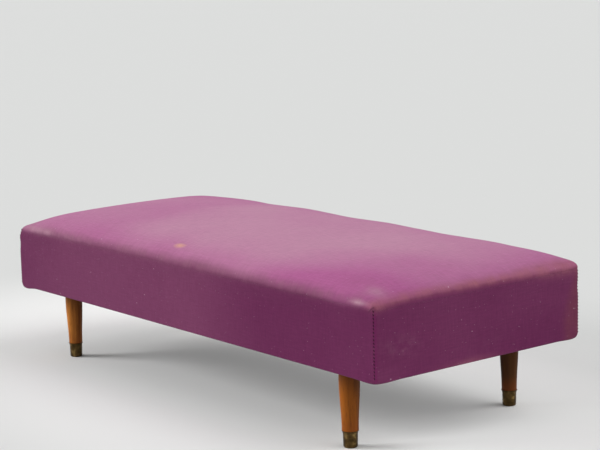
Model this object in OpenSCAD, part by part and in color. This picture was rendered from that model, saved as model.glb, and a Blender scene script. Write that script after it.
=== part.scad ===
// Backless divan: a sprung pine frame with a fitted cloth cover,
// on four turned legs with brass ferrules.
// X runs along the length, Y across the width, Z up from the floor.
// The origin is on the floor, below the middle of the divan.

/* [Body] */
// Length over the cover
divan_l = 1900; // [1700:10:2000]
// Width over the cover
divan_w = 800; // [700:10:900]
// Height of the underside of the frame above the floor
frame_z = 236; // [200:2:300]
// Height of the cover's corners above the underside of the frame
corner_h = 217; // [200:1:260]
// Rise of the padding just inside the edges, above the corners
crown_h = 40; // [20:1:50]
// Further rise of the broad dome towards the middle
dome_h = 31; // [10:1:50]
// Fullness of the padding towards the ends, more is squarer
end_fullness = 14; // [8:0.5:20]
// Fullness of the padding towards the long sides, more is squarer
side_fullness = 8.4; // [5:0.2:14]
// Radius of the cover round its four upright corners
corner_r = 12; // [10:1:24]
// Rounding between the top and the sides
edge_r = 16; // [8:1:24]

/* [Soft layers] */
// Thickness of the cover cloth with its lining
cloth_t = 1.2; // [0.8:0.1:2.5]
// Thickness of the cotton wadding
wadding_t = 4; // [3:0.5:10]
// Gap left between one soft layer and the next
layer_gap = 0.3; // [0.2:0.05:0.5]
// How far the sides draw in below the padded edge
side_dip = 1.6; // [0:0.1:4]
// How far the cover lies in from its widest line where it passes the frame
frame_inset = 1; // [0.5:0.1:2]
// Thickness of the hessian
hessian_t = 1; // [0.6:0.1:2]
// Thickness of the dust cover
dust_t = 0.8; // [0.5:0.1:1.5]
// Width of the cover's hem under the frame
hem_w = 10; // [8:1:12]
// How far the cloth folded into the corners hangs below the hem
corner_fold_drop = 5; // [0:1:8]

/* [Frame] */
// Height of the rails
rail_h = 120; // [100:2:130]
// Thickness of the rails
rail_t = 25; // [22:1:32]
// Width of the boards that carry the legs
leg_board_w = 120; // [90:5:160]
// Thickness of the boards that carry the legs
leg_board_t = 28; // [22:1:36]
// Thickness of the rail across the middle
middle_rail_t = 25; // [20:1:32]
// Height of the rail across the middle
middle_rail_h = 70; // [50:5:90]
// Leg of the triangular corner blocks
block_leg = 60; // [40:5:80]
// Height of the corner blocks
block_h = 90; // [60:5:95]
// Diameter of the wood screws
screw_d = 5; // [4:0.5:6]
// Length of the wood screws
screw_l = 60; // [50:5:80]
// Diameter of a screw head
screw_head_d = 9.5; // [8:0.5:11]

/* [Springs] */
// Distance of the outermost springs' axes from the ends of the divan
spring_end_inset = 175; // [150:1:200]
// Number of straight bars in one spring
spring_bars = 23; // [17:2:25]
// Diameter of the spring wire
wire_d = 3.6; // [3:0.1:4.5]
// How much thinner the wire is drawn where it is bent
bend_thinning = 0.06; // [0.02:0.01:0.2]
// Length of a straight bar between two bends
bar_l = 18.6; // [16:0.2:24]
// Rise of the springs' arch at the middle
spring_rise = 36; // [20:1:45]
// Diameter of the wires that tie the springs together
tie_d = 2.4; // [1.5:0.1:3]
// Distance of each tie wire from the middle line
tie_y = 120; // [80:5:200]
// How far outside the inner faces of the long rails the end bars lie
bar_seat = 4; // [3:0.5:6]
// Thickness of the steel strip of a clip
clip_t = 1.2; // [1:0.1:2]
// Width of a clip along the bar
clip_w = 15; // [10:1:16]

/* [Legs] */
// Distance of a leg's axis from the end of the divan
leg_end_inset = 205; // [160:5:260]
// Distance of a leg's axis from the long side
leg_side_inset = 83; // [80:1:120]
// Diameter at the top of a leg
leg_top_d = 58; // [50:1:64]
// Diameter of the wood just above the ferrule
leg_foot_d = 46; // [42:1:50]
// Share of the wood above the ferrule that is straight before the taper starts
leg_straight_share = 0.2; // [0:0.05:0.4]
// Height of the ferrule
ferrule_h = 49; // [35:1:60]
// Outer diameter at the mouth of the ferrule
ferrule_top_d = 41; // [36:1:42]
// Outer diameter at the bottom of the ferrule
ferrule_foot_d = 39; // [32:1:41]
// Wall of the ferrule
ferrule_t = 1; // [0.6:0.1:1.5]
// Diameter over the flared lip of the ferrule
ferrule_lip_d = 49; // [47:0.5:54]
// Rounding at the bottom of the ferrule
ferrule_foot_r = 4.5; // [2:0.5:6]
// Diameter of the hanger bolts
bolt_d = 8; // [6:1:10]
// Depth of the hanger bolts in the legs
bolt_in_leg = 45; // [30:5:60]

/* [Fastenings] */
// Distance between tacks along the rails
tack_pitch = 75; // [50:5:120]
// Diameter of a tack head
tack_head_d = 7; // [5:0.5:8]
// Thickness of a tack head
tack_head_t = 0.7; // [0.5:0.1:1]
// Width of the square shank of a tack
tack_shank_w = 1.6; // [1.2:0.1:2]
// Length of a tack below its head
tack_l = 12; // [9:1:16]
// Number of stitches up one corner seam
stitch_count = 20; // [10:1:30]
// Diameter of the seam thread
thread_d = 1; // [0.6:0.1:1.5]

/* [Hidden] */
// Clearance round metal that sits in wood
fit_gap = 0.15;
// Overrun of every cut past the face that it opens
over = 1;
// Facets of a small round solid, and of a leg
small_fn = 24;
large_fn = 64;
// Number of zig-zag springs, one node each
spring_count = 11;

half_l = divan_l / 2;
half_w = divan_w / 2;
corner_z = frame_z + corner_h;
rail_top_z = frame_z + rail_h;

// Depth of each layer below the outer face of the cover
wadding_depth = cloth_t + layer_gap;
foam_depth = wadding_depth + wadding_t + layer_gap;
rail_depth = foam_depth + frame_inset;
rail_out_x = half_l - rail_depth;
rail_out_y = half_w - rail_depth;
rail_in_x = rail_out_x - rail_t;
rail_in_y = rail_out_y - rail_t;

// The hem, its tack heads and the dust cover lie one below the other under the frame
hem_top_z = frame_z - layer_gap;
hem_z = hem_top_z - cloth_t;
dust_z = hem_z - tack_head_t - layer_gap - dust_t;

leg_x = half_l - leg_end_inset;
leg_y = half_w - leg_side_inset;
board_top_z = frame_z + leg_board_t;

// The soft layers are lofted through rings of points. A ring is a rectangle with
// round corners, counted from the middle of the left end along the front.
// Its back half mirrors its front half, so the last ring is closed by strips.
corner_steps = 3;
long_steps = 6;
// Length beside each corner that has a point of its own
corner_zone = 60;

// Places of the points along a straight long side: one near each corner, the rest even
function side_places(half, r) =
    let (span = 2 * (half - r), zone = min(corner_zone, span / (long_steps + 1)))
    [for (k = [0 : long_steps]) -span / 2 + zone + k * (span - 2 * zone) / long_steps];

function front_half(hx, hy, r) =
    let (zone = min(corner_zone, (hy - r) / 2), end_y = hy - r - zone)
    concat(
        [[-hx, -end_y / 3], [-hx, -end_y]],
        [for (k = [0 : corner_steps]) let (a = 180 + 90 * k / corner_steps)
            [-hx + r + r * cos(a), -hy + r + r * sin(a)]],
        [for (x = side_places(hx, r)) [x, -hy]],
        [for (k = [0 : corner_steps]) let (a = 270 + 90 * k / corner_steps)
            [hx - r + r * cos(a), -hy + r + r * sin(a)]],
        [[hx, -end_y], [hx, -end_y / 3]]
    );

half_points = len(front_half(half_l, half_w, corner_r));
ring_points = 2 * half_points;

function ring_xy(hx, hy, r) =
    let (front = front_half(hx, hy, r))
    concat(front, [for (k = [half_points - 1 : -1 : 0]) [front[k].x, -front[k].y]]);

// A ring at an inset from the cover's widest line, for a layer at a depth under the cover.
// Its corner radius shrinks with the depth, down to the least, and towards the middle of the top.
least_corner_r = 2;
function inset_ring(inset, depth = 0) =
    let (r = max(least_corner_r, corner_r - depth) * (1 - inset / half_w))
    ring_xy(half_l - inset - depth, half_w - inset - depth, r);
function level_ring(z, inset, depth = 0) = [for (p = inset_ring(inset, depth)) [p.x, p.y, z]];

// Height of the outer face of the cover over a point that lies inset from its edge
function fullness(t, power) = 1 - pow(min(abs(t), 1), power);
function edge_rise(inset) =
    inset >= edge_r ? 0 : sqrt(pow(edge_r, 2) - pow(edge_r - inset, 2)) - edge_r;
function top_z(p, inset) =
    let (u = p.x / half_l, v = p.y / half_w)
    corner_z + edge_rise(inset)
    + crown_h * fullness(u, end_fullness) * fullness(v, side_fullness)
    + dome_h * fullness(u, 2) * fullness(v, 2);
function top_ring(inset, depth) =
    let (outer = inset_ring(inset), own = inset_ring(inset, depth))
    [for (k = [0 : ring_points - 1]) [own[k].x, own[k].y, top_z(outer[k], inset) - depth]];

// Insets of the top's rings: across the rounded edge, then across the width
edge_ring_shares = [0.08, 0.35, 1];
top_ring_shares = [0.09, 0.16, 0.27, 0.42, 0.62, 0.85];
top_insets = concat(
    [for (s = edge_ring_shares) s * edge_r],
    [for (s = top_ring_shares) s * half_w]
);

// Heights of the side's rings over the frame, and their insets: the side is straight
// over the frame, draws in above it and swells to the padded edge
pad_edge_h = corner_z - edge_r - rail_top_z;
dip_height_share = 0.4;
swell_height_share = 0.85;
swell_inset_share = 0.2;
side_levels = [
    [rail_top_z, frame_inset],
    [rail_top_z + dip_height_share * pad_edge_h, frame_inset + side_dip],
    [rail_top_z + swell_height_share * pad_edge_h, swell_inset_share * frame_inset]
];
function side_rings(depth) = [for (s = side_levels) level_ring(s[0], s[1], depth)];
function top_rings(depth) = [for (s = top_insets) top_ring(s, depth)];

// Cloth folded into the corners hangs a little, most at the corner itself
fold_reach = corner_zone + corner_r;
function fold_drop(p) =
    let (d = norm([half_l - abs(p.x), half_w - abs(p.y)]) / fold_reach)
    corner_fold_drop * pow(max(0, 1 - d * d), 2);
function hung(ring) = [for (p = ring) [p.x, p.y, p.z - fold_drop(p)]];

function flat(list) = [for (a = list) each a];

// Faces between ring a and the next ring b, seen from outside
function band(a, b) = flat([for (k = [0 : ring_points - 1])
    let (k2 = (k + 1) % ring_points,
         i = a * ring_points + k, i2 = a * ring_points + k2,
         j = b * ring_points + k, j2 = b * ring_points + k2)
    [[i, j, j2], [i, j2, i2]]]);
// Strips that close ring a from above
function cap(a) = flat([for (k = [0 : half_points - 2])
    let (i = a * ring_points + k, j = a * ring_points + ring_points - 1 - k)
    [[i, j, j - 1], [i, j - 1, i + 1]]]);
function turned(faces) = [for (f = faces) [f[0], f[2], f[1]]];
function bands(first, count) = flat([for (k = [first : first + count - 2]) band(k, k + 1)]);

// A closed solid between its outer rings and its inner rings. Both run from its lowest
// edge to the middle, so layers that lie on each other have the same facets.
module lofted(outer, inner) {
    n = len(outer);
    last = n + len(inner) - 1;
    polyhedron(
        flat(concat(outer, inner)),
        concat(bands(0, n), cap(n - 1), turned(bands(n, len(inner))), turned(cap(last)), band(n, 0)),
        convexity = 6
    );
}

// Radius on which the cover turns under the frame, and the share of it of the middle ring
hem_round = 5;
round_share = 0.3;
hem_in = rail_depth + hem_w;

// The rings of the cover's lower edge: the hem, the turn and the foot of the side
function hem_rings(z, depth) =
    let (r = hem_round - depth)
    [level_ring(z, hem_in),
     hung(level_ring(z, frame_inset + hem_round)),
     hung(level_ring(z + round_share * r, frame_inset + round_share * r, depth)),
     hung(level_ring(z + r, frame_inset, depth))];

module fabric_cover() {
    outer = concat(hem_rings(hem_z, 0), side_rings(0), top_rings(0));
    inner = concat(hem_rings(hem_top_z, cloth_t), side_rings(cloth_t), top_rings(cloth_t));
    color("#8a4a70") lofted(outer, inner);
}

module cotton_wadding() {
    foot_z = frame_z + hem_round;
    inner_depth = wadding_depth + wadding_t;
    outer = concat([level_ring(foot_z, frame_inset, wadding_depth)],
        side_rings(wadding_depth), top_rings(wadding_depth));
    inner = concat([level_ring(foot_z, frame_inset, inner_depth)],
        side_rings(inner_depth), top_rings(inner_depth));
    color("#efe9dc") lofted(outer, inner);
}

// Heights of the end bars of the springs and of the clips that hold them
bar_z = rail_top_z + clip_t + fit_gap + wire_d / 2;
clip_top_z = bar_z + wire_d / 2 + fit_gap + clip_t;
spring_half_span = rail_in_y + bar_seat;
bar_step = 2 * spring_half_span / (spring_bars - 1);
function bar_place(k) =
    let (y = -spring_half_span + k * bar_step)
    [y, bar_z + spring_rise * (1 - pow(y / spring_half_span, 2))];
spring_w = bar_l + norm(bar_place(1) - bar_place(0)) + wire_d;
spring_spacing = 2 * (half_l - spring_end_inset) / (spring_count - 1);
spring_xs = [for (k = [1 : spring_count]) (k - (spring_count + 1) / 2) * spring_spacing];
last_spring_x = spring_xs[spring_count - 1] + spring_w / 2;

// A clip's nail stands just outside the fold that holds the bar
clip_nail_d = 2.2;
clip_nail_head_d = 5;
clip_nail_head_t = 0.7;
clip_nail_l = 20;
clip_edge = 0.5;
clip_wall_y = spring_half_span - wire_d / 2 - fit_gap - clip_t;
clip_lip_y = spring_half_span + wire_d / 2;
clip_nail_y = clip_lip_y + clip_edge + clip_nail_head_d / 2;
clip_tail_y = clip_nail_y + clip_nail_head_d / 2 + clip_edge;

// The hessian is tacked down along the rails, outside the clips, and arches over the springs.
// Its edge is caught under the tack heads.
hessian_tack_inset = tack_head_d / 2 + clip_edge;
hessian_edge_inset = rail_depth + hessian_tack_inset + tack_shank_w / 2 + fit_gap;
hessian_low_z = rail_top_z + layer_gap;
hessian_foot_inset = half_w - clip_tail_y - 2 * clip_edge - hessian_t;
hessian_clip_inset = half_w - clip_lip_y - layer_gap;
hessian_z = clip_top_z + layer_gap;
bed_half_span = half_w - hessian_clip_inset;
// The hessian stands this much clear of the wire at the middle of the arch
bed_slack = 1.2;
bed_h = spring_rise - clip_t - fit_gap + bed_slack;
// The arch holds its height to a little past the last springs, then falls to the end rails
field_margin = 35;
field_x = last_spring_x + field_margin;
function bed_z(p) =
    let (u = (rail_in_x - abs(p.x)) / (rail_in_x - field_x), v = abs(p.y) / bed_half_span)
    hessian_z + bed_h * max(0, min(1, u)) * (1 - min(v * v, 1));

// Rings of the arch: over the clips, at the inner face of the rails, halfway to the
// edge of the sprung field, at that edge, and then in steps to the middle
field_inset = half_l - field_x;
middle_inset_share = 0.93;
field_steps = 4;
bed_insets = concat(
    [hessian_clip_inset, rail_depth + rail_t, (rail_depth + rail_t + field_inset) / 2],
    [for (k = [0 : field_steps])
        field_inset + k * (middle_inset_share * half_w - field_inset) / field_steps]
);
function bed_rings(lift) =
    [for (s = bed_insets) [for (p = inset_ring(s)) [p.x, p.y, bed_z(p) + lift]]];

module hessian_sheet() {
    under = concat([level_ring(hessian_low_z, hessian_edge_inset),
        level_ring(hessian_low_z, hessian_foot_inset)], bed_rings(0));
    above = concat([level_ring(hessian_low_z + hessian_t, hessian_edge_inset),
        level_ring(hessian_low_z + hessian_t, hessian_foot_inset)], bed_rings(hessian_t));
    color("#b59a6a") lofted(above, under);
}

module foam_pad() {
    low_z = hessian_low_z + hessian_t + tack_head_t + layer_gap;
    outer = concat([level_ring(low_z, frame_inset, foam_depth)],
        [for (k = [1 : len(side_levels) - 1])
            level_ring(side_levels[k][0], side_levels[k][1], foam_depth)],
        top_rings(foam_depth));
    inner = concat([level_ring(low_z, hessian_foot_inset)], bed_rings(hessian_t + layer_gap));
    color("#e8d9a8") lofted(outer, inner);
}

// Tacks stand in rows along the rails, at an inset from their outer faces
tack_corner_gap = fold_reach + 2 * tack_head_d;
function row_places(half_run) =
    let (n = max(1, floor(2 * half_run / tack_pitch)))
    [for (k = [0 : n]) -half_run + k * 2 * half_run / n];
function long_tacks(inset, sides = [-1, 1]) =
    [for (s = sides, x = row_places(rail_out_x - tack_corner_gap)) [x, s * (rail_out_y - inset)]];
function end_tacks(inset, sides = [-1, 1]) =
    [for (s = sides, y = row_places(rail_out_y - tack_corner_gap)) [s * (rail_out_x - inset), y]];
function all_tacks(inset) = concat(long_tacks(inset), end_tacks(inset));
hem_tack_inset = hem_w + tack_shank_w / 2 + fit_gap;
dust_tack_inset = hem_tack_inset + tack_head_d / 2 + tack_shank_w;

module tack_shanks(places, z, l, grow = 0) {
    w = tack_shank_w + 2 * grow;
    for (p = places) translate([p.x - w / 2, p.y - w / 2, z]) cube([w, w, l]);
}

module tack_heads(places, z) {
    for (p = places) translate([p.x, p.y, z])
        cylinder(h = tack_head_t, d = tack_head_d, $fn = small_fn);
}

module hem_tacks() {
    color("#5a5a60") {
        tack_heads(all_tacks(hem_tack_inset), hem_z - tack_head_t);
        tack_shanks(all_tacks(hem_tack_inset), hem_z, tack_l);
    }
}

module dust_cover_tacks() {
    color("#5a5a60") {
        tack_heads(all_tacks(dust_tack_inset), dust_z - tack_head_t);
        tack_shanks(all_tacks(dust_tack_inset), dust_z, tack_l);
    }
}

module hessian_tacks() {
    top = hessian_low_z + hessian_t;
    color("#5a5a60") {
        tack_heads(all_tacks(hessian_tack_inset), top);
        tack_shanks(all_tacks(hessian_tack_inset), top - tack_l, tack_l);
    }
}

// The three rows of tack holes in one rail, which is given as a function of the inset
module rail_tack_holes(places) {
    depth = tack_l + fit_gap;
    tack_shanks(places[0], frame_z - over, depth + over, fit_gap);
    tack_shanks(places[1], frame_z - over, depth + over, fit_gap);
    tack_shanks(places[2], rail_top_z - depth, depth + over, fit_gap);
}

// The dust cover is a plain sheet with a hole for each leg. Its corners are cut back
// round the folds of the cover.
dust_inset = rail_depth + hem_round;
dust_corner_r = fold_reach + hem_w;
leg_hole_gap = 1;
leg_places = [[-leg_x, -leg_y], [leg_x, -leg_y], [-leg_x, leg_y], [leg_x, leg_y]];

module dust_cover() {
    color("#2b2826") difference() {
        translate([0, 0, dust_z]) linear_extrude(dust_t)
            rounded_rectangle(half_l - dust_inset, half_w - dust_inset, dust_corner_r);
        for (p = leg_places) translate([p.x, p.y, dust_z - over])
            cylinder(h = dust_t + 2 * over, d = leg_top_d + 2 * leg_hole_gap, $fn = large_fn);
        tack_shanks(all_tacks(dust_tack_inset), dust_z - over, dust_t + 2 * over, fit_gap);
    }
}

// Wood screws run in from the outer faces of the long rails, each at its own x and z
// and sunk to its own depth
corner_screw_in = 10;
corner_screw_sink = 3;
corner_screw_shares = [0.2, 0.5, 0.8];
board_screw_share = 0.3;
board_screw_height_share = 0.6;
middle_screw_shares = [0.3, 0.7];
function corner_screws(end) =
    [for (s = corner_screw_shares)
        [end * (rail_in_x + corner_screw_in), frame_z + s * rail_h, corner_screw_sink]];
function board_screws(end) =
    [for (e = [-1, 1]) [end * leg_x + e * board_screw_share * leg_board_w,
        frame_z + board_screw_height_share * leg_board_t, 0]];
middle_screws = [for (s = middle_screw_shares) [0, frame_z + s * middle_rail_h, 0]];
long_rail_screws = concat(corner_screws(-1), board_screws(-1), middle_screws,
    board_screws(1), corner_screws(1));

module screws(places, sides = [-1, 1], grow = 0) {
    head_h = (screw_head_d - screw_d) / 2;
    for (side = sides, p = places)
        translate([p.x, side * (rail_out_y - p.z), p.y]) rotate([side * 90, 0, 0]) {
            cylinder(h = head_h, d1 = screw_head_d + 2 * grow, d2 = screw_d + 2 * grow, $fn = small_fn);
            cylinder(h = screw_l + grow, d = screw_d + 2 * grow, $fn = small_fn);
        }
}

// Screw holes, open to the outer face of the rail
module screw_holes(places, sides = [-1, 1]) {
    screws(places, sides, fit_gap);
    for (side = sides, p = places)
        translate([p.x, side * (rail_out_y - p.z), p.y]) rotate([-side * 90, 0, 0])
            cylinder(h = p.z + over, d = screw_head_d + 2 * fit_gap, $fn = small_fn);
}

// The rails' outer corners are rounded as the cover is, so that they don't wear through it
module rounded_rectangle(hx, hy, r) {
    square([2 * (hx - r), 2 * hy], center = true);
    square([2 * hx, 2 * (hy - r)], center = true);
    for (sx = [-1, 1], sy = [-1, 1])
        translate([sx * (hx - r), sy * (hy - r)]) circle(r, $fn = large_fn);
}

module frame_screws() {
    color("#b8b29a") screws(long_rail_screws);
}

module side_rail(side) {
    color("#d9b27c") difference() {
        translate([0, 0, frame_z]) linear_extrude(rail_h) intersection() {
            rounded_rectangle(rail_out_x, rail_out_y, corner_r);
            translate([-rail_out_x, side > 0 ? rail_in_y : -rail_out_y])
                square([2 * rail_out_x, rail_t]);
        }
        screw_holes(long_rail_screws, [side]);
        rail_tack_holes([for (i = [hem_tack_inset, dust_tack_inset, hessian_tack_inset])
            long_tacks(i, [side])]);
        clip_nail_holes(side);
    }
}

module end_rail(side) {
    color("#d9b27c") difference() {
        translate([side > 0 ? rail_in_x : -rail_out_x, -rail_in_y, frame_z])
            cube([rail_t, 2 * rail_in_y, rail_h]);
        screw_holes(corner_screws(side));
        rail_tack_holes([for (i = [hem_tack_inset, dust_tack_inset, hessian_tack_inset])
            end_tacks(i, [side])]);
    }
}

// A tee nut's barrel goes into the board from above, and its flange lies on the board
tee_flange_d = 22;
tee_flange_t = 1.5;
tee_wall = 1.5;
tee_barrel_d = bolt_d + 2 * tee_wall;
tee_barrel_share = 0.5;
tee_barrel_h = tee_barrel_share * leg_board_t;

module leg_board(side) {
    color("#caa06a") difference() {
        translate([side * leg_x - leg_board_w / 2, -rail_in_y, frame_z])
            cube([leg_board_w, 2 * rail_in_y, leg_board_t]);
        for (y = [-leg_y, leg_y]) translate([side * leg_x, y, 0]) {
            translate([0, 0, frame_z - over])
                cylinder(h = leg_board_t + 2 * over, d = bolt_d + 2 * fit_gap, $fn = small_fn);
            translate([0, 0, board_top_z - tee_barrel_h - fit_gap])
                cylinder(h = tee_barrel_h + fit_gap + over, d = tee_barrel_d + 2 * fit_gap, $fn = small_fn);
        }
        screw_holes(board_screws(side));
    }
}

module middle_rail() {
    color("#caa06a") difference() {
        translate([-middle_rail_t / 2, -rail_in_y, frame_z])
            cube([middle_rail_t, 2 * rail_in_y, middle_rail_h]);
        screw_holes(middle_screws);
    }
}

// A corner block is glued into the corner, below the top of the rails
block_drop = 12;
module corner_block(sx, sy) {
    color("#caa06a") translate([sx * rail_in_x, sy * rail_in_y, rail_top_z - block_drop - block_h])
        linear_extrude(block_h) polygon([[0, 0], [-sx * block_leg, 0], [0, -sy * block_leg]]);
}

// One spring: straight bars joined by half-round bends on alternate sides
module zigzag_spring(number) {
    color("#8d9095") translate([spring_xs[number - 1], 0, 0]) {
        for (k = [0 : spring_bars - 1]) let (p = bar_place(k))
            translate([-bar_l / 2, p.x, p.y]) rotate([0, 90, 0])
                cylinder(h = bar_l, d = wire_d, $fn = small_fn);
        for (k = [0 : spring_bars - 2])
            let (p = bar_place(k), q = bar_place(k + 1), side = k % 2 == 0 ? 1 : -1)
            translate([side * bar_l / 2, (p.x + q.x) / 2, (p.y + q.y) / 2])
                rotate([atan2(q.y - p.y, q.x - p.x), 0, 0]) rotate([0, 0, -side * 90])
                    rotate_extrude(angle = 180, $fn = large_fn)
                        translate([norm(q - p) / 2, 0]) circle(d = wire_d - bend_thinning, $fn = small_fn);
    }
}

// The tie wires run along the divan, under the nearest bar of every spring
module tie_wires() {
    p = bar_place(round((tie_y + spring_half_span) / bar_step));
    color("#7d7f84") for (side = [-1, 1])
        translate([-last_spring_x, side * p.x, p.y - wire_d / 2 - fit_gap - tie_d / 2])
            rotate([0, 90, 0]) cylinder(h = 2 * last_spring_x, d = tie_d, $fn = small_fn);
}

// A clip is a steel strip folded back over the bar, drawn here from its side
module clip_outline() {
    difference() {
        translate([clip_wall_y, 0]) square([clip_tail_y - clip_wall_y, clip_top_z - rail_top_z]);
        translate([clip_wall_y + clip_t, clip_t]) square([rail_t, wire_d + 2 * fit_gap]);
        translate([clip_lip_y, clip_t]) square([rail_t, clip_top_z]);
    }
}

module spring_clips() {
    color("#6f7276") for (x = spring_xs, turn = [0, 180])
        translate([x, 0, rail_top_z]) rotate([0, 0, turn]) difference() {
            translate([-clip_w / 2, 0, 0]) rotate([90, 0, 90]) linear_extrude(clip_w) clip_outline();
            translate([0, clip_nail_y, -over])
                cylinder(h = clip_t + 2 * over, d = clip_nail_d + 2 * fit_gap, $fn = small_fn);
        }
}

module clip_nails() {
    color("#5a5a60") for (x = spring_xs, side = [-1, 1])
        translate([x, side * clip_nail_y, rail_top_z + clip_t]) {
            cylinder(h = clip_nail_head_t, d = clip_nail_head_d, $fn = small_fn);
            translate([0, 0, -clip_nail_l]) cylinder(h = clip_nail_l, d = clip_nail_d, $fn = small_fn);
        }
}

module clip_nail_holes(side) {
    for (x = spring_xs)
        translate([x, side * clip_nail_y, rail_top_z + clip_t - clip_nail_l - fit_gap])
            cylinder(h = clip_nail_l + over, d = clip_nail_d + 2 * fit_gap, $fn = small_fn);
}

// The seam up a corner is a row of stitches across the corner's edge
seam_end_gap = 10;
stitch_w = 5;
side_insets = concat([[hem_z, frame_inset]], side_levels,
    [[corner_z + edge_rise(top_insets[0]), top_insets[0]]]);
// The corner has an odd number of facets, and the stitches lie on the middle one
facet_reach = cos(45 / corner_steps);
module corner_seam(sx, sy) {
    low = hem_z + seam_end_gap;
    high = corner_z - edge_r;
    color("#4f1c3c") for (k = [0 : stitch_count - 1])
        let (z = low + k * (high - low) / (stitch_count - 1), inset = lookup(z, side_insets),
             r = corner_r * (1 - inset / half_w))
        translate([sx * (half_l - inset - r), sy * (half_w - inset - r), z])
            rotate([0, 0, atan2(sy, sx)])
                translate([facet_reach * r + layer_gap + thread_d / 2, 0, 0]) rotate([90, 0, 0])
                    cylinder(h = stitch_w, d = thread_d, center = true, $fn = small_fn);
}

// A leg is turned: straight at the top, then a smooth taper to a shoulder,
// and below it a tenon that fills the ferrule
taper_steps = 14;
shoulder_r = leg_foot_d / 2;
tenon_top_r = ferrule_top_d / 2 - ferrule_t - fit_gap;
tenon_foot_r = ferrule_foot_d / 2 - ferrule_t - fit_gap;
taper_top_z = frame_z - leg_straight_share * (frame_z - ferrule_h);
function eased(t) = t * t * (3 - 2 * t);

module leg(sx, sy) {
    outline = concat(
        [[0, ferrule_t + fit_gap], [tenon_foot_r - ferrule_foot_r, ferrule_t + fit_gap],
         [tenon_foot_r, ferrule_t + fit_gap + ferrule_foot_r], [tenon_top_r, ferrule_h]],
        [for (k = [0 : taper_steps]) let (t = k / taper_steps)
            [shoulder_r + (leg_top_d / 2 - shoulder_r) * eased(t),
             ferrule_h + t * (taper_top_z - ferrule_h)]],
        [[leg_top_d / 2, frame_z], [0, frame_z]]
    );
    color("#8a4f24") translate([sx * leg_x, sy * leg_y, 0]) difference() {
        rotate_extrude($fn = large_fn) polygon(outline);
        translate([0, 0, frame_z - bolt_in_leg - fit_gap])
            cylinder(h = bolt_in_leg + fit_gap + over, d = bolt_d + 2 * fit_gap, $fn = small_fn);
    }
}

// A ferrule is a thin brass cup with a rounded foot, a bead and a flared lip
arc_steps = 6;
lip_t = 1.2;
lip_flare_h = 3;
bead_r = 0.8;
bead_drop = 6;

module ferrule(sx, sy) {
    foot_r = ferrule_foot_d / 2;
    mouth_r = ferrule_top_d / 2;
    lip_r = ferrule_lip_d / 2;
    inner_r = ferrule_foot_r - ferrule_t;
    bead_z = ferrule_h - bead_drop;
    bead_at = foot_r + (mouth_r - foot_r) * bead_z / ferrule_h;
    outline = concat(
        [[0, 0]],
        [for (k = [0 : arc_steps]) let (a = 90 * k / arc_steps)
            [foot_r - ferrule_foot_r * (1 - sin(a)), ferrule_foot_r * (1 - cos(a))]],
        [for (k = [0 : arc_steps]) let (a = -90 + 180 * k / arc_steps)
            [bead_at + bead_r * cos(a), bead_z + bead_r * sin(a)]],
        [for (k = [0 : arc_steps]) let (a = 90 * k / arc_steps)
            [mouth_r + (lip_r - mouth_r) * (1 - cos(a)),
             ferrule_h - lip_t - lip_flare_h * (1 - sin(a))]],
        [[lip_r, ferrule_h], [mouth_r - ferrule_t, ferrule_h]],
        [for (k = [arc_steps : -1 : 0]) let (a = 90 * k / arc_steps)
            [foot_r - ferrule_t - inner_r * (1 - sin(a)), ferrule_t + inner_r * (1 - cos(a))]],
        [[0, ferrule_t]]
    );
    color("#6b5a2e") translate([sx * leg_x, sy * leg_y, 0])
        rotate_extrude($fn = large_fn) polygon(outline);
}

// A hanger bolt has a pointed wood thread in the leg and a plain end through the tee nut
bolt_tip_h = 6;
bolt_tip_share = 0.4;
bolt_out = 5;
module hanger_bolt(sx, sy) {
    low = frame_z - bolt_in_leg;
    color("#a7a9ac") translate([sx * leg_x, sy * leg_y, low]) {
        cylinder(h = bolt_tip_h, d1 = bolt_tip_share * bolt_d, d2 = bolt_d, $fn = small_fn);
        translate([0, 0, bolt_tip_h])
            cylinder(h = board_top_z + bolt_out - low - bolt_tip_h, d = bolt_d, $fn = small_fn);
    }
}

module tee_nut(sx, sy) {
    color("#9a9ca0") translate([sx * leg_x, sy * leg_y, board_top_z]) difference() {
        union() {
            cylinder(h = tee_flange_t, d = tee_flange_d, $fn = small_fn);
            translate([0, 0, -tee_barrel_h])
                cylinder(h = tee_barrel_h + tee_flange_t, d = tee_barrel_d, $fn = small_fn);
        }
        translate([0, 0, -tee_barrel_h - over])
            cylinder(h = tee_barrel_h + tee_flange_t + 2 * over, d = bolt_d + 2 * fit_gap, $fn = small_fn);
    }
}

side_rail(-1);  // side_rail_front
side_rail(1);  // side_rail_back
end_rail(-1);  // end_rail_left
end_rail(1);  // end_rail_right
leg_board(-1);  // leg_board_left
leg_board(1);  // leg_board_right
middle_rail();
corner_block(-1, -1);  // corner_block_front_left
corner_block(1, -1);  // corner_block_front_right
corner_block(-1, 1);  // corner_block_back_left
corner_block(1, 1);  // corner_block_back_right
frame_screws();
zigzag_spring(1);  // zigzag_spring_1
zigzag_spring(2);  // zigzag_spring_2
zigzag_spring(3);  // zigzag_spring_3
zigzag_spring(4);  // zigzag_spring_4
zigzag_spring(5);  // zigzag_spring_5
zigzag_spring(6);  // zigzag_spring_6
zigzag_spring(7);  // zigzag_spring_7
zigzag_spring(8);  // zigzag_spring_8
zigzag_spring(9);  // zigzag_spring_9
zigzag_spring(10);  // zigzag_spring_10
zigzag_spring(11);  // zigzag_spring_11
tie_wires();
spring_clips();
clip_nails();
hessian_sheet();
hessian_tacks();
foam_pad();
cotton_wadding();
fabric_cover();
corner_seam(-1, -1);  // corner_seam_front_left
corner_seam(1, -1);  // corner_seam_front_right
corner_seam(-1, 1);  // corner_seam_back_left
corner_seam(1, 1);  // corner_seam_back_right
hem_tacks();
dust_cover();
dust_cover_tacks();
leg(-1, -1);  // leg_front_left
leg(1, -1);  // leg_front_right
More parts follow.
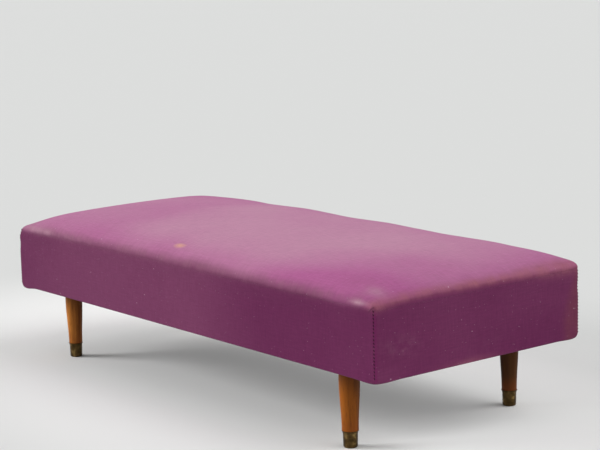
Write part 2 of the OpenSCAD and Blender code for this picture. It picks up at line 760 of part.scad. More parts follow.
leg(-1, 1);  // leg_back_left
leg(1, 1);  // leg_back_right
ferrule(-1, -1);  // ferrule_front_left
ferrule(1, -1);  // ferrule_front_right
ferrule(-1, 1);  // ferrule_back_left
ferrule(1, 1);  // ferrule_back_right
hanger_bolt(-1, -1);  // hanger_bolt_front_left
hanger_bolt(1, -1);  // hanger_bolt_front_right
hanger_bolt(-1, 1);  // hanger_bolt_back_left
hanger_bolt(1, 1);  // hanger_bolt_back_right
tee_nut(-1, -1);  // tee_nut_front_left
tee_nut(1, -1);  // tee_nut_front_right
tee_nut(-1, 1);  // tee_nut_back_left
tee_nut(1, 1);  // tee_nut_back_right
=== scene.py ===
import math

import bmesh
import bpy
import numpy as np
from mathutils import Matrix, Vector


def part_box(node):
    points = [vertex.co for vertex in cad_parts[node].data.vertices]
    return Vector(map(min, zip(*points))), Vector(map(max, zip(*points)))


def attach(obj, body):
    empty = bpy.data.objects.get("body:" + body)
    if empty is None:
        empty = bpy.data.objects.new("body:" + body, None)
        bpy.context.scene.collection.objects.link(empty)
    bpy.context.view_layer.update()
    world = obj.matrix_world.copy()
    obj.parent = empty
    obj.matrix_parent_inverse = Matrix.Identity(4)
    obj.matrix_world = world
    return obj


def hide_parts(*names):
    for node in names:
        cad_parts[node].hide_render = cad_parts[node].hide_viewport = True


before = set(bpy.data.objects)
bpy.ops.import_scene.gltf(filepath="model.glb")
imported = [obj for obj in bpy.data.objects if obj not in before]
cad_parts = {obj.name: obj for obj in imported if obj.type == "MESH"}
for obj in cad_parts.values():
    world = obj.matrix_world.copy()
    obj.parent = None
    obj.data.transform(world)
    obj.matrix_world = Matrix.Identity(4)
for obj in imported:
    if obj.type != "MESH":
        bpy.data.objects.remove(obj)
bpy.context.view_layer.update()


# The view: a long lens, a little above the seat and off the near right corner of the
# divan. Its focal length is in pixels of a frame that is 600 pixels wide.
camera_azimuth = math.radians(51.77)
camera_pitch = math.radians(9.462)
camera_roll = math.radians(-1.493)
camera_distance = 7.3642
camera_aim = Vector((-1.3841, 1.1986, 0.2042))
focal_pixels = 1705.05
frame_pixels = 600
camera_reach = 300

backward = Vector((
    math.sin(camera_azimuth) * math.cos(camera_pitch),
    -math.cos(camera_azimuth) * math.cos(camera_pitch),
    math.sin(camera_pitch),
))
level_right = Vector((0, 0, 1)).cross(backward).normalized()
level_up = backward.cross(level_right)
camera_right = level_right * math.cos(camera_roll) + level_up * math.sin(camera_roll)
camera_up = level_up * math.cos(camera_roll) - level_right * math.sin(camera_roll)
camera_data = bpy.data.cameras.new("studio_camera")
camera_data.lens = camera_data.sensor_width * focal_pixels / frame_pixels
camera_data.clip_end = camera_reach
camera = bpy.data.objects.new("studio_camera", camera_data)
bpy.context.scene.collection.objects.link(camera)
turn = Matrix((camera_right, camera_up, backward)).transposed().to_4x4()
camera.matrix_world = Matrix.Translation(camera_aim + backward * camera_distance) @ turn
bpy.context.scene.camera = camera
bpy.context.scene.view_settings.view_transform = "Standard"


# The studio: a wide sweep of pale paper, a soft key light from the near left and a broader
# fill from the far right, both low enough to reach under the divan. The paper's colour holds
# painted light: whiter round the divan, lifting its soft shadow, and greyer away from it, as
# painted dimming of the lamps.
paper_painted_light_near = "#fcfcfb"
paper_painted_dim_far = "#d2d3d2"
shadow_reach = (1.5, 0.8, 1.0)
paper_near_share = 0.55
paper_far_share = 1.6
backdrop_colour = "#dcdcdc"
floor_size = 400
room_light = 0.50
key_light = 0.80
key_softness = math.radians(30)
key_direction = Vector((-0.664, -0.664, 0.342))
fill_light = 0.58
fill_softness = math.radians(60)
fill_direction = Vector((0.627, 0.527, 0.574))


def linear(hex_colour):
    """An sRGB hex colour as linear red, green, blue and alpha."""
    parts = [int(hex_colour[k:k + 2], 16) / 255 for k in (1, 3, 5)]
    return [c / 12.92 if c <= 0.04045 else ((c + 0.055) / 1.055) ** 2.4 for c in parts] + [1]


def feed(tree, socket, value):
    """Gives a socket a value, a hex colour, or a link from a node's first output in use."""
    if isinstance(value, bpy.types.Node):
        value = next(output for output in value.outputs if output.enabled)
    if isinstance(value, bpy.types.NodeSocket):
        tree.links.new(value, socket)
    else:
        socket.default_value = linear(value) if isinstance(value, str) else value


def add_node(tree, kind, sockets=None, **fields):
    """Adds a node, sets its fields and feeds its sockets, which go by name or number. A Mix
    node mixes colours here: 0 is the share of the second one, and 6 and 7 are the two."""
    made = tree.nodes.new("ShaderNode" + kind)
    if kind == "Mix":
        made.data_type = "RGBA"
    for field, value in fields.items():
        setattr(made, field, value)
    for socket, value in (sockets or {}).items():
        feed(tree, made.inputs[socket], value)
    return made


def start_material(name, **constants):
    """A new material, with the constants set on its shader. A socket's spaces are written as _."""
    made = bpy.data.materials.new(name)
    made.use_nodes = True
    shader = made.node_tree.nodes["Principled BSDF"]
    for socket, value in constants.items():
        feed(made.node_tree, shader.inputs[socket.replace("_", " ")], value)
    return made, made.node_tree, shader


def finish_colour(tree, shader, colour, height, distance):
    """Links a colour to the shader, and a height as its bump."""
    bump = add_node(tree, "Bump", {"Height": height, "Distance": distance, "Strength": 1})
    feed(tree, shader.inputs["Base Color"], colour)
    feed(tree, shader.inputs["Normal"], bump)


bpy.ops.object.select_all(action="DESELECT")
bpy.ops.mesh.primitive_plane_add(size=floor_size, location=(0, 0, 0))
floor = bpy.context.object
floor.name = "studio_floor"
# Uncoated paper, quite matt
paper, tree, shader = start_material("matt_paper_with_painted_light", Roughness=0.9, Specular_IOR_Level=0.1)
place = add_node(tree, "TexCoord").outputs["Object"]
shares = add_node(tree, "VectorMath", {0: place, 1: shadow_reach}, operation="DIVIDE")
from_middle = add_node(tree, "VectorMath", {0: shares}, operation="LENGTH")
far_share = add_node(tree, "MapRange", {0: from_middle, 1: paper_near_share, 2: paper_far_share},
                     interpolation_type="SMOOTHSTEP")
# Painted light in the paper's tone: whiter near the divan, greyer far from it
tone = add_node(tree, "Mix", {0: far_share, 6: paper_painted_light_near, 7: paper_painted_dim_far})
feed(tree, shader.inputs["Base Color"], tone)
floor.data.materials.append(paper)

# The camera and polished metal see the backdrop's grey beyond the floor, and the object is
# lit by the room's own light
world = bpy.data.worlds.new("studio_room")
bpy.context.scene.world = world
world.use_nodes = True
tree = world.node_tree
room = tree.nodes["Background"]
room.inputs["Color"].default_value = (1, 1, 1, 1)
room.inputs["Strength"].default_value = room_light
seen = add_node(tree, "Background", {"Color": backdrop_colour, "Strength": 1})
ray = add_node(tree, "LightPath")
mirrored = add_node(tree, "Math", {0: ray.outputs["Is Glossy Ray"],
                                   1: ray.outputs["Is Transmission Ray"]}, operation="ADD")
sees = add_node(tree, "Math", {0: ray.outputs["Is Camera Ray"], 1: mirrored}, operation="ADD",
                use_clamp=True)
choice = add_node(tree, "MixShader", {0: sees, 1: room, 2: seen})
feed(tree, tree.nodes["World Output"].inputs["Surface"], choice)

for lamp_name, towards, light, softness in (
        ("key_lamp", key_direction, key_light, key_softness),
        ("fill_lamp", fill_direction, fill_light, fill_softness)):
    lamp_data = bpy.data.lights.new(lamp_name, "SUN")
    lamp_data.energy = light * math.pi
    lamp_data.angle = softness
    lamp = bpy.data.objects.new(lamp_name, lamp_data)
    bpy.context.scene.collection.objects.link(lamp)
    lamp.rotation_mode = "QUATERNION"
    lamp.rotation_quaternion = towards.to_track_quat("Z", "Y")


# The frame: planed pine boards, glued and screwed. Straight grain runs along each board,
# with growth rings about 5 mm apart and a few small dark knots.
ring_spacing = 0.005
rings_per_unit = 0.314  # a wave texture of scale 1 repeats every 0.314 m
pine_pale = "#dcb987"
pine_dark = "#b98550"
knot_colour = "#6d4526"


def pine(name, along):
    """Pine whose grain runs along X (0) or Y (1)."""
    made, tree, shader = start_material(name, Roughness=0.62)
    place = add_node(tree, "TexCoord").outputs["Object"]
    stretch = [6.0, 6.0, 6.0]
    stretch[along] = 0.5
    long_place = add_node(tree, "Mapping", {"Vector": place, "Scale": stretch})
    drift = add_node(tree, "TexNoise", {"Vector": long_place, "Scale": 1.5, "Detail": 3})
    shifted = add_node(tree, "MixRGB", {"Fac": 0.012, "Color1": place, "Color2": drift.outputs[1]},
                       blend_type="ADD")
    rings = add_node(tree, "TexWave", {"Vector": shifted, "Distortion": 1.2,
                                       "Scale": rings_per_unit / ring_spacing, "Detail": 2},
                     wave_type="RINGS", rings_direction="XY"[along], wave_profile="SAW")
    fibres = add_node(tree, "TexNoise", {"Vector": long_place, "Scale": 45, "Detail": 4})
    grain = add_node(tree, "MixRGB", {"Fac": 0.35, "Color1": rings, "Color2": fibres})
    wood = add_node(tree, "Mix", {0: grain, 6: pine_pale, 7: pine_dark})
    knots = add_node(tree, "TexVoronoi", {"Vector": long_place, "Scale": 1.1})
    knot = add_node(tree, "MapRange", {0: knots, 1: 0.03, 2: 0.07, 3: 1, 4: 0})
    knotty = add_node(tree, "Mix", {0: knot, 6: wood, 7: knot_colour})
    finish_colour(tree, shader, knotty, grain, 0.0002)
    return made


def dress(nodes, material):
    """Gives carried-over CAD nodes their material, in each of their slots."""
    for name in nodes:
        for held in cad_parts[name].material_slots:
            held.material = material


lengthwise_boards = ["side_rail_front", "side_rail_back"]
crosswise_boards = ["end_rail_left", "end_rail_right", "leg_board_left", "leg_board_right",
                    "middle_rail"]
corners = ["front_left", "front_right", "back_left", "back_right"]
dress(lengthwise_boards, pine("planed_pine_lengthwise", 0))
dress(crosswise_boards + ["corner_block_" + c for c in corners],
      pine("planed_pine_crosswise", 1))


# Screws, nails, tacks, bolts and nuts: plain rolled and headed steel, grey, with a dull
# skin of oxide and the odd brown rust bloom a few millimetres wide.
def worn_steel(name, bright, dull, rust, roughness, spot):
    """Steel with an uneven oxide skin. spot is the width of its blotches in metres."""
    made, tree, shader = start_material(name, Metallic=1.0)
    place = add_node(tree, "TexCoord").outputs["Object"]
    blotch = add_node(tree, "TexNoise", {"Vector": place, "Scale": 1 / spot, "Detail": 4})
    scratch = add_node(tree, "TexNoise", {"Vector": place, "Scale": 12 / spot, "Detail": 2})
    skin = add_node(tree, "Mix", {0: blotch, 6: bright, 7: dull})
    bloom = add_node(tree, "MapRange", {0: blotch, 1: 0.62, 2: 0.74})
    rusty = add_node(tree, "Mix", {0: bloom, 6: skin, 7: rust})
    shine = add_node(tree, "MapRange", {0: scratch, 1: 0.3, 2: 0.7, 3: roughness - 0.08,
                                        4: roughness + 0.12})
    feed(tree, shader.inputs["Roughness"], shine)
    finish_colour(tree, shader, rusty, scratch, 0.00005)
    return made


fixings = ["frame_screws", "clip_nails", "hessian_tacks", "hem_tacks", "dust_cover_tacks"]
fixings += ["hanger_bolt_" + c for c in corners] + ["tee_nut_" + c for c in corners]
plain_steel = worn_steel("plain_steel", bright="#a9a8a4", dull="#6f6e6c", rust="#6b452c",
                         roughness=0.42, spot=0.006)
dress(fixings, plain_steel)


# The springs: eleven zig-zags of hard-drawn wire, blued by their tempering, which hook
# into folded clips nailed to the side rails. Two straight wires tie them together.
springs = ["zigzag_spring_%d" % k for k in range(1, 12)] + ["tie_wires", "spring_clips"]
spring_steel = worn_steel("drawn_spring_steel", bright="#8b8f96", dull="#4c4f57", rust="#5c3f2d",
                          roughness=0.34, spot=0.012)
dress(springs, spring_steel)


# The form under the cover. Hessian, foam, wadding and cloth lie on each other, so each is
# a grid over the top and down the sides, laid at its own depth under the cover's face.
fullness = 0.0025
end_bulge = 0.003
half_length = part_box("fabric_cover")[1].x + fullness + end_bulge
half_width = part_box("fabric_cover")[1].y + fullness
frame_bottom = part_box("side_rail_front")[0].z
rail_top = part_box("side_rail_front")[1].z
rail_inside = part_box("end_rail_right")[0].x
side_height = 0.219
corner_height = frame_bottom + side_height
crown_rise = 0.040
dome_rise = 0.031
end_fullness = 14
side_fullness = 8.4
corner_radius = 0.012
edge_radius = 0.016
frame_tuck = 0.001
side_dip = 0.0012
dip_share = 0.4
swell_share = 0.85
swell_inset = 0.0002
first_step = 0.003
step_growth = 1.13
layer_cell = 0.016
layer_gap = 0.0003


def ramp(value, start, length):
    """0 up to the start, climbing gently to 1 a length beyond it. A negative length climbs as
    the value falls."""
    return (1 - np.cos(np.pi * np.clip((value - start) / length, 0, 1))) / 2


def grid_places(half, largest):
    """Places from one edge to the other, close together at the edges and wide in the middle."""
    steps = [first_step]
    while sum(steps) < half:
        steps.append(min(steps[-1] * step_growth, largest))
    distance = np.cumsum([0] + steps)
    distance *= half / distance[-1]
    return np.concatenate([distance - half, (half - distance[:-1])[::-1]])


def round_corners(x, y, inset, depth):
    """Moves points of the rectangle at an inset onto its round corners, at a depth."""
    reach_x = half_length - inset
    reach_y = half_width - inset
    radius = np.maximum(corner_radius * (1 - inset / half_width), 1e-9)
    far_x = np.abs(x)
    far_y = np.abs(y)
    on_end = reach_x - far_x < reach_y - far_y
    along = np.where(on_end, far_y - reach_y, far_x - reach_x) / radius + 1
    angle = np.clip(along, 0, 1) * np.pi / 4
    near = radius * np.cos(angle) - radius
    aside = radius * np.sin(angle) - radius
    far_x = np.where(along > 0, reach_x + np.where(on_end, near, aside), far_x)
    far_y = np.where(along > 0, reach_y + np.where(on_end, aside, near), far_y)
    far_x = far_x * (reach_x - depth) / reach_x
    far_y = far_y * (1 - depth / np.maximum(reach_y, depth + 1e-9))
    return np.sign(x) * far_x, np.sign(y) * far_y


def top_place(x, y, depth):
    """Where a point of the flat cloth comes to lie on the top, at a depth under its face."""
    from_edge = np.minimum(half_length - np.abs(x), half_width - np.abs(y))
    turn = np.clip(from_edge / edge_radius, 0, 1) * np.pi / 2
    inset = np.where(from_edge < edge_radius, edge_radius * (1 - np.cos(turn)), from_edge)
    x = x * (half_length - inset) / (half_length - from_edge)
    y = y * (half_width - inset) / np.maximum(half_width - from_edge, 1e-9)
    face_x, face_y = round_corners(x, y, inset, 0)
    u = np.abs(face_x) / half_length
    v = np.abs(face_y) / half_width
    height = corner_height + edge_radius * (np.sin(turn) - 1)
    height = height + crown_rise * (1 - u ** end_fullness) * (1 - v ** side_fullness)
    height = height + dome_rise * (1 - u ** 2) * (1 - v ** 2)
    x, y = round_corners(x, y, inset, depth)
    return x, y, height - depth


def side_inset(height):
    """How far the side lies in: straight over the frame, drawn in above it, full at the top."""
    pad = corner_height - edge_radius - rail_top
    dip_at = rail_top + dip_share * pad
    swell_at = rail_top + swell_share * pad
    down = frame_tuck + side_dip * ramp(height, rail_top, dip_at - rail_top)
    up = (frame_tuck + side_dip - swell_inset) * ramp(height, dip_at, swell_at - dip_at)
    return down - up


# Where the stuffing lies high or low: its place along and across, its reach and its height
lumps = ((-0.95, -0.15, 0.16, 0.30, -0.0042), (-0.44, 0.36, 0.07, 0.16, -0.0024),
         (-0.23, 0.36, 0.09, 0.16, 0.0034), (0.00, 0.36, 0.08, 0.16, -0.0024),
         (0.20, 0.36, 0.08, 0.16, 0.0034), (0.45, 0.36, 0.09, 0.16, -0.0030),
         (0.66, 0.36, 0.07, 0.16, 0.0022), (0.93, 0.42, 0.16, 0.14, 0.0056),
         (-0.96, -0.41, 0.10, 0.10, -0.0045))
loose_corner = (-0.0024, -0.0028)
loose_reach = (0.22, 0.22)
loose_turn = 2.1  # the corner leans out below its top edge, and in at the edge itself
loose_top = 0.045
thin_corner = -0.0021
thin_reach = (0.15, 0.15)
thin_top = 0.060
corner_ease = 0.04


def hump(value, middle, reach):
    """1 at the middle, falling off over the reach."""
    return np.exp(-((value - middle) / reach) ** 2)


def patch(x, y, at, size):
    """A soft round patch: 1 at its middle, falling off over its size."""
    return np.exp(-((x - at[0]) / size[0]) ** 2 - ((y - at[1]) / size[1]) ** 2)


def settle(place):
    """The unevenness of old stuffing: the top and the padded sides wander by 1 to 5 mm, the
    front left corner stands a little proud, and the back right one is drawn in."""
    x, y, z = place.T
    high = ramp(z, rail_top, corner_height - rail_top)
    lift = 0.0016 * np.sin(5.3 * x + 1.0) * np.cos(6.1 * y + 0.4) + 0.0009 * np.sin(13 * x + 7 * y)
    out = 0.0010 * np.sin(9 * x + 11 * y + 14 * z) + 0.0006 * np.sin(23 * x - 19 * y)
    for at_x, at_y, reach_x, reach_y, height in lumps:
        lift = lift + height * patch(x, y, (at_x, at_y), (reach_x, reach_y))
    proud = patch(x, y, (-half_length, -half_width), loose_reach)
    proud = proud * (1 - loose_turn * ramp(z, corner_height - loose_top, corner_ease))
    drawn = thin_corner * patch(x, y, (half_length, half_width), thin_reach)
    drawn = drawn * ramp(z, corner_height - thin_top, corner_ease)
    moved = place.copy()
    moved[:, 0] += np.sign(x) * high * out * (np.abs(x) / half_length) ** 20
    moved[:, 1] += np.sign(y) * high * out * (np.abs(y) / half_width) ** 12
    moved[:, 0] += proud * loose_corner[0] + drawn
    moved[:, 1] += proud * loose_corner[1] + drawn
    moved[:, 2] += high * lift
    return moved


def shape_layer(name, largest, depth, levels, underside=None):
    """A layer over the top and down the sides, with a UV map in metres of cloth. levels are
    its (height, inset) down the side; underside gives the place of a closing grid's points."""
    xs = grid_places(half_length, largest)
    ys = grid_places(half_width, largest)
    columns, rows = len(xs), len(ys)
    flat_x, flat_y = (a.ravel() for a in np.meshgrid(xs, ys))
    places = [np.stack(top_place(flat_x, flat_y, depth), 1)]
    flat = [np.stack([flat_x, flat_y], 1)]
    grid = np.arange(columns * rows).reshape(rows, columns)
    faces = np.stack([grid[:-1, :-1], grid[:-1, 1:], grid[1:, 1:], grid[1:, :-1]], -1)
    faces = faces.reshape(-1, 4)
    edge = np.concatenate([grid[0, :-1], grid[:-1, -1], grid[-1, :0:-1], grid[:0:-1, 0]])
    quads = [faces]
    upper = edge
    count = columns * rows
    edge_x, edge_y = flat_x[edge], flat_y[edge]
    around = np.where(np.abs(edge_x) == half_length, 0, 1)
    for height, inset in levels:
        ring_x, ring_y = round_corners(edge_x * (half_length - inset) / half_length,
                                       edge_y * (half_width - inset) / half_width,
                                       np.full(len(edge), inset), depth)
        places.append(np.stack([ring_x, ring_y, np.full(len(edge), height)], 1))
        down = corner_height - height + inset
        flat.append(np.stack([edge_x + np.sign(edge_x) * down * (around == 0),
                              edge_y + np.sign(edge_y) * down * (around == 1)], 1))
        lower = np.arange(count, count + len(edge))
        quads.append(np.stack([lower, np.roll(lower, -1), np.roll(upper, -1), upper], 1))
        upper = lower
        count += len(edge)
    if underside:
        places.append(np.stack(underside(flat_x, flat_y), 1))
        flat.append(np.stack([flat_x, flat_y], 1))
        quads.append(faces[:, ::-1] + count)
        lower = edge + count
        quads.append(np.stack([lower, np.roll(lower, -1), np.roll(upper, -1), upper], 1))
    mesh = bpy.data.meshes.new(name)
    mesh.from_pydata(settle(np.concatenate(places)).tolist(), [], np.concatenate(quads).tolist())
    cloth_map = mesh.uv_layers.new(name="cloth")
    corner = np.zeros(len(mesh.loops), int)
    mesh.loops.foreach_get("vertex_index", corner)
    cloth_map.data.foreach_set("uv", np.concatenate(flat)[corner].ravel())
    mesh.shade_smooth()
    made = bpy.data.objects.new(name, mesh)
    bpy.context.scene.collection.objects.link(made)
    return made


def pick(piece):
    """Selects one piece alone, for the operator that follows."""
    bpy.ops.object.select_all(action="DESELECT")
    piece.select_set(True)
    bpy.context.view_layer.objects.active = piece


def apply_modifier(piece, kind, **fields):
    """Adds one modifier, sets its fields and applies it."""
    pick(piece)
    added = piece.modifiers.new(kind.lower(), kind)
    for field, value in fields.items():
        setattr(added, field, value)
    bpy.ops.object.modifier_apply(modifier=added.name)


def get_places(mesh):
    place = np.zeros(len(mesh.vertices) * 3)
    mesh.vertices.foreach_get("co", place)
    return place.reshape(-1, 3)


def set_places(mesh, place):
    mesh.vertices.foreach_set("co", np.asarray(place, np.float32).ravel())
    mesh.update()


def put_in_place(piece, material, node):
    """Gives a modelled piece its material, attaches it to the root body and hides the CAD node that
    it stands for.
    """
    piece.data.materials.append(material)
    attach(piece, "root")
    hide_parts(node)


# The hessian: coarse open-woven jute, tacked along the tops of the rails and drawn over
# the springs, which arch it up and dent it a little between them.
hessian_low = rail_top + layer_gap
hessian_over_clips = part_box("spring_clips")[1].z + layer_gap
hessian_edge = half_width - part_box("hessian_sheet")[1].y
hessian_foot = 0.018 + fullness
hessian_clips = 0.0257 + fullness
hessian_thickness = 0.001
arch_rise = 0.03585
field_margin = 0.035
field_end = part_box("zigzag_spring_11")[1].x + field_margin
field_half_width = half_width - hessian_clips
thread_pitch_hessian = 0.0025
jute_pale = "#b99d6b"
jute_dark = "#77603a"


def bed_place(x, y, edge, lift):
    """A point of the flat sheet, laid on the rails, over the clips and on the springs' arch."""
    from_edge = np.minimum(half_length - np.abs(x), half_width - np.abs(y))
    inset = edge + from_edge * (1 - edge / half_width)
    x = x * (half_length - inset) / (half_length - from_edge)
    y = y * (half_width - inset) / np.maximum(half_width - from_edge, 1e-9)
    x, y = round_corners(x, y, inset, 0)
    along = np.clip((rail_inside - np.abs(x)) / (rail_inside - field_end), 0, 1)
    across = np.clip(1 - (y / field_half_width) ** 2, 0, 1)
    climb = np.clip((inset - hessian_foot) / (hessian_clips - hessian_foot), 0, 1)
    height = hessian_low + climb * (hessian_over_clips - hessian_low) + arch_rise * along * across
    return x, y, height + lift


hessian = shape_layer("hessian_support", layer_cell, 0, [])
sheet_x, sheet_y = (a.ravel() for a in np.meshgrid(grid_places(half_length, layer_cell),
                                                   grid_places(half_width, layer_cell)))
set_places(hessian.data, np.stack(bed_place(sheet_x, sheet_y, hessian_edge, 0), 1))
apply_modifier(hessian, "SOLIDIFY", thickness=hessian_thickness, offset=1)


def woven(tree, place, pitch, wander):
    """The height of a plain weave with threads a pitch apart, in metres. wander says how far
    they stray, in pitches."""
    drift = add_node(tree, "TexNoise", {"Vector": place, "Scale": 0.15 / pitch, "Detail": 1})
    moved = add_node(tree, "MixRGB", {"Fac": wander * pitch, "Color1": place,
                                      "Color2": drift.outputs[1]}, blend_type="ADD")
    threads = [add_node(tree, "TexWave", {"Vector": moved, "Scale": rings_per_unit / pitch},
                        bands_direction=direction).outputs[1] for direction in "XY"]
    return add_node(tree, "Math", {0: threads[0], 1: threads[1]}, operation="MULTIPLY")


# Jute, spun thick and thin: the slubs are some 30 mm long
jute, tree, shader = start_material("woven_jute_hessian", Roughness=0.95, Specular_IOR_Level=0.15)
place = add_node(tree, "UVMap", uv_map="cloth")
weave = woven(tree, place, thread_pitch_hessian, 0.5)
slub = add_node(tree, "TexNoise", {"Vector": place, "Scale": 33, "Detail": 4})
thread = add_node(tree, "Math", {0: weave, 1: slub, 2: 0.25}, operation="MULTIPLY_ADD")
tone = add_node(tree, "Mix", {0: thread, 6: jute_dark, 7: jute_pale})
finish_colour(tree, shader, tone, weave, 0.0004)
put_in_place(hessian, jute, "hessian_sheet")


# The foam pad: moulded latex, hollowed below by the springs' arch, yellowed with age and
# full of pinholes about 1 mm wide.
cloth_thickness = 0.0012
wadding_thickness = 0.004
wadding_depth = cloth_thickness + layer_gap
foam_depth = wadding_depth + wadding_thickness + layer_gap
foam_low = rail_top + 0.0023
pinhole_spacing = 0.006
latex_pale = "#e6d39a"
latex_dark = "#b9964f"
level_step = 0.005


def side_levels(foot):
    """Heights and insets down the side, from under the top edge to a foot."""
    count = round((corner_height - edge_radius - foot) / level_step)
    heights = np.linspace(corner_height - edge_radius, foot, count + 1)[1:]
    return [(h, side_inset(h)) for h in heights]


foam = shape_layer("latex_foam_pad", layer_cell, foam_depth,
                   side_levels(foam_low) + [(foam_low, hessian_foot)],
                   lambda x, y: bed_place(x, y, hessian_foot, hessian_thickness + layer_gap))
latex, tree, shader = start_material("moulded_latex_foam", Roughness=0.85)
place = add_node(tree, "TexCoord").outputs["Object"]
holes = add_node(tree, "TexVoronoi", {"Vector": place, "Scale": 1 / pinhole_spacing})
pit = add_node(tree, "MapRange", {0: holes, 1: 0.08, 2: 0.22})
ageing = add_node(tree, "TexNoise", {"Vector": place, "Scale": 4, "Detail": 3})
tone = add_node(tree, "Mix", {0: ageing, 6: latex_pale, 7: latex_dark})
# The pinholes are painted dark, as painted shade inside them
pinholes_painted_shade = add_node(tree, "Mix", {0: pit, 6: latex_dark, 7: tone})
finish_colour(tree, shader, pinholes_painted_shade, pit, 0.0006)
put_in_place(foam, latex, "foam_pad")


# The wadding: a layer of teased cotton laid over the pad and down over the rails, off
# white, with soft tufts 10 to 20 mm wide.
wadding_foot = frame_bottom + 0.020
tuft_size = 0.014
cotton_pale = "#f1ece0"
cotton_dark = "#cfc5b0"

wadding = shape_layer("cotton_wadding_layer", layer_cell, wadding_depth,
                      side_levels(wadding_foot))
apply_modifier(wadding, "SOLIDIFY", thickness=wadding_thickness, offset=-1)
cotton, tree, shader = start_material("teased_cotton_wadding", Roughness=1.0, Sheen_Weight=0.3,
                                      Specular_IOR_Level=0.1)
place = add_node(tree, "TexCoord").outputs["Object"]
tufts = add_node(tree, "TexNoise", {"Vector": place, "Scale": 1 / tuft_size, "Detail": 6,
                                    "Distortion": 1.5})
tone = add_node(tree, "Mix", {0: tufts, 6: cotton_dark, 7: cotton_pale})
finish_colour(tree, shader, tone, tufts, 0.002)
put_in_place(wadding, cotton, "cotton_wadding")


# The cover: one cloth over the top, turned down, sewn up the four corners and tacked
# under the frame. Plain-woven wool, plum violet where it kept its colour, faded pink on
# top, rubbed brownish along the edges, with lint on it and one small yellow stain.
hem_low = frame_bottom - layer_gap - cloth_thickness
hem_turn = 0.005
hem_flat = 0.005
hem_under_dust = 0.005
hem_inside = half_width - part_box("dust_cover")[1].y + hem_under_dust
turn_angles = [30, 60, 90]
cover_cell = 0.012

turn_levels = [(hem_low + hem_turn * (1 - math.sin(math.radians(a))),
                frame_tuck + hem_turn * (1 - math.cos(math.radians(a)))) for a in turn_angles]
hem_levels = turn_levels + [(hem_low, frame_tuck + hem_turn + hem_flat), (hem_low, hem_inside)]
cover = shape_layer("wool_cover", cover_cell, 0, side_levels(hem_low + hem_turn) + hem_levels)

fold_drops = ((0.0085, 0.0032), (0.0070, 0.0045))  # front and back, each left and right
fold_reach = 0.098
fold_power = 1.6
fold_height = 0.04
hem_ease = 0.006
end_slack = 0.0012
end_slack_reach = 0.05
end_slack_fade = 0.10
end_slack_least = 0.35
foot_round = 0.018
foot_round_reach = 0.030
foot_round_most = 0.9


def hang_folds(place):
    """The cloth folded into the corners hangs below the frame, most at the corner itself,
    and rounds the foot of the corner off."""
    x, y, z = place.T
    in_x = half_length - np.abs(x)
    in_y = half_width - np.abs(y)
    away = np.hypot(in_x, in_y)
    own_drop = np.where(y < 0, np.where(x < 0, *fold_drops[0]), np.where(x < 0, *fold_drops[1]))
    drop = own_drop * np.clip(1 - (away / fold_reach) ** 2, 0, 1) ** fold_power
    slack = end_slack * ramp(x, half_length - end_slack_reach, end_slack_reach)
    drop = drop + slack * np.clip(in_y / end_slack_fade, end_slack_least, 1)
    tucked = ramp(np.minimum(in_x, in_y), hem_inside, -hem_ease)
    t = np.clip((hem_low + foot_round - z) / foot_round, 0, foot_round_most)
    inward = foot_round * (1 - np.sqrt(1 - t ** 2)) * hump(away, 0, foot_round_reach)
    inward = inward * tucked / math.sqrt(2)
    moved = place.copy()
    moved[:, 0] -= np.sign(x) * inward
    moved[:, 1] -= np.sign(y) * inward
    moved[:, 2] -= drop * tucked * ramp(z, hem_low + fold_height, -fold_height)
    return moved


set_places(cover.data, hang_folds(get_places(cover.data)))

swell_frames = 16
swell_pressure = 4
swell_cap = 0.004
grip_from = corner_height - 0.03


def swell(piece):
    """Lets the filling push the cloth out, held at the frame. It may only move outwards,
    because the wadding lies straight under it, and no further than a cap."""
    start = get_places(piece.data)
    outward = np.array([v.normal for v in piece.data.vertices])
    held = piece.vertex_groups.new(name="held")
    grip = ramp(start[:, 2], grip_from, rail_top - corner_height)
    for index, weight in enumerate(grip):
        held.add([index], float(weight), "REPLACE")
    cloth = piece.modifiers.new("swell", "CLOTH")
    cloth.settings.vertex_group_mass = "held"
    cloth.settings.use_pressure = True
    cloth.settings.uniform_pressure_force = swell_pressure
    cloth.settings.effector_weights.gravity = 0
    cloth.settings.quality = 4
    cloth.settings.mass = 0.3
    cloth.settings.bending_stiffness = 5
    cloth.collision_settings.use_collision = False
    cloth.point_cache.frame_start = 1
    cloth.point_cache.frame_end = swell_frames
    for moment in range(1, swell_frames + 1):
        bpy.context.scene.frame_set(moment)
    evaluated = piece.evaluated_get(bpy.context.evaluated_depsgraph_get())
    out = ((get_places(evaluated.data) - start) * outward).sum(1).clip(0)
    piece.modifiers.remove(cloth)
    piece.vertex_groups.remove(held)
    bpy.context.scene.frame_set(1)
    usual = max(np.percentile(out, 98), 1e-9)
    out = np.minimum(swell_cap * out / usual, swell_cap)
    set_places(piece.data, start + outward * out[:, None])


swell(cover)

# Smaller cells beside the corners, for the puckers along the seams
corner_zone = 0.030
form = bmesh.new()
form.from_mesh(cover.data)
beside = [e for e in form.edges
          if all(math.hypot(half_length - abs(v.co.x), half_width - abs(v.co.y)) < corner_zone
                 for v in e.verts)]
bmesh.ops.subdivide_edges(form, edges=beside, cuts=1, use_grid_fill=True)
form.to_mesh(cover.data)
form.free()

seam_pitch = 0.0107
seam_low = frame_bottom + 0.006
seam_high = corner_height - 0.012
seam_fade = (0.008, 0.010)  # at its foot and at its top
seam_shift = 0.0020
corner_centre = corner_radius * (1 - math.sqrt(0.5))
groove_depth = 0.0003
groove_reach = 0.0020
groove_least = 0.2
welt_height = 0.0003
welt_at = 0.011
welt_reach = 0.006
welt_least = 0.75
top_fold_depth = 0.0011
top_fold_width = 0.006
top_fold_reach = 0.035
top_fold_lean = 0.8
top_fold_start = 0.010


def from_seam(place):
    """How far each point lies from the nearest corner's seam, along X and along Y."""
    off = side_inset(place[:, 2]) + corner_centre
    return half_length - off - np.abs(place[:, 0]), half_width - off - np.abs(place[:, 1])


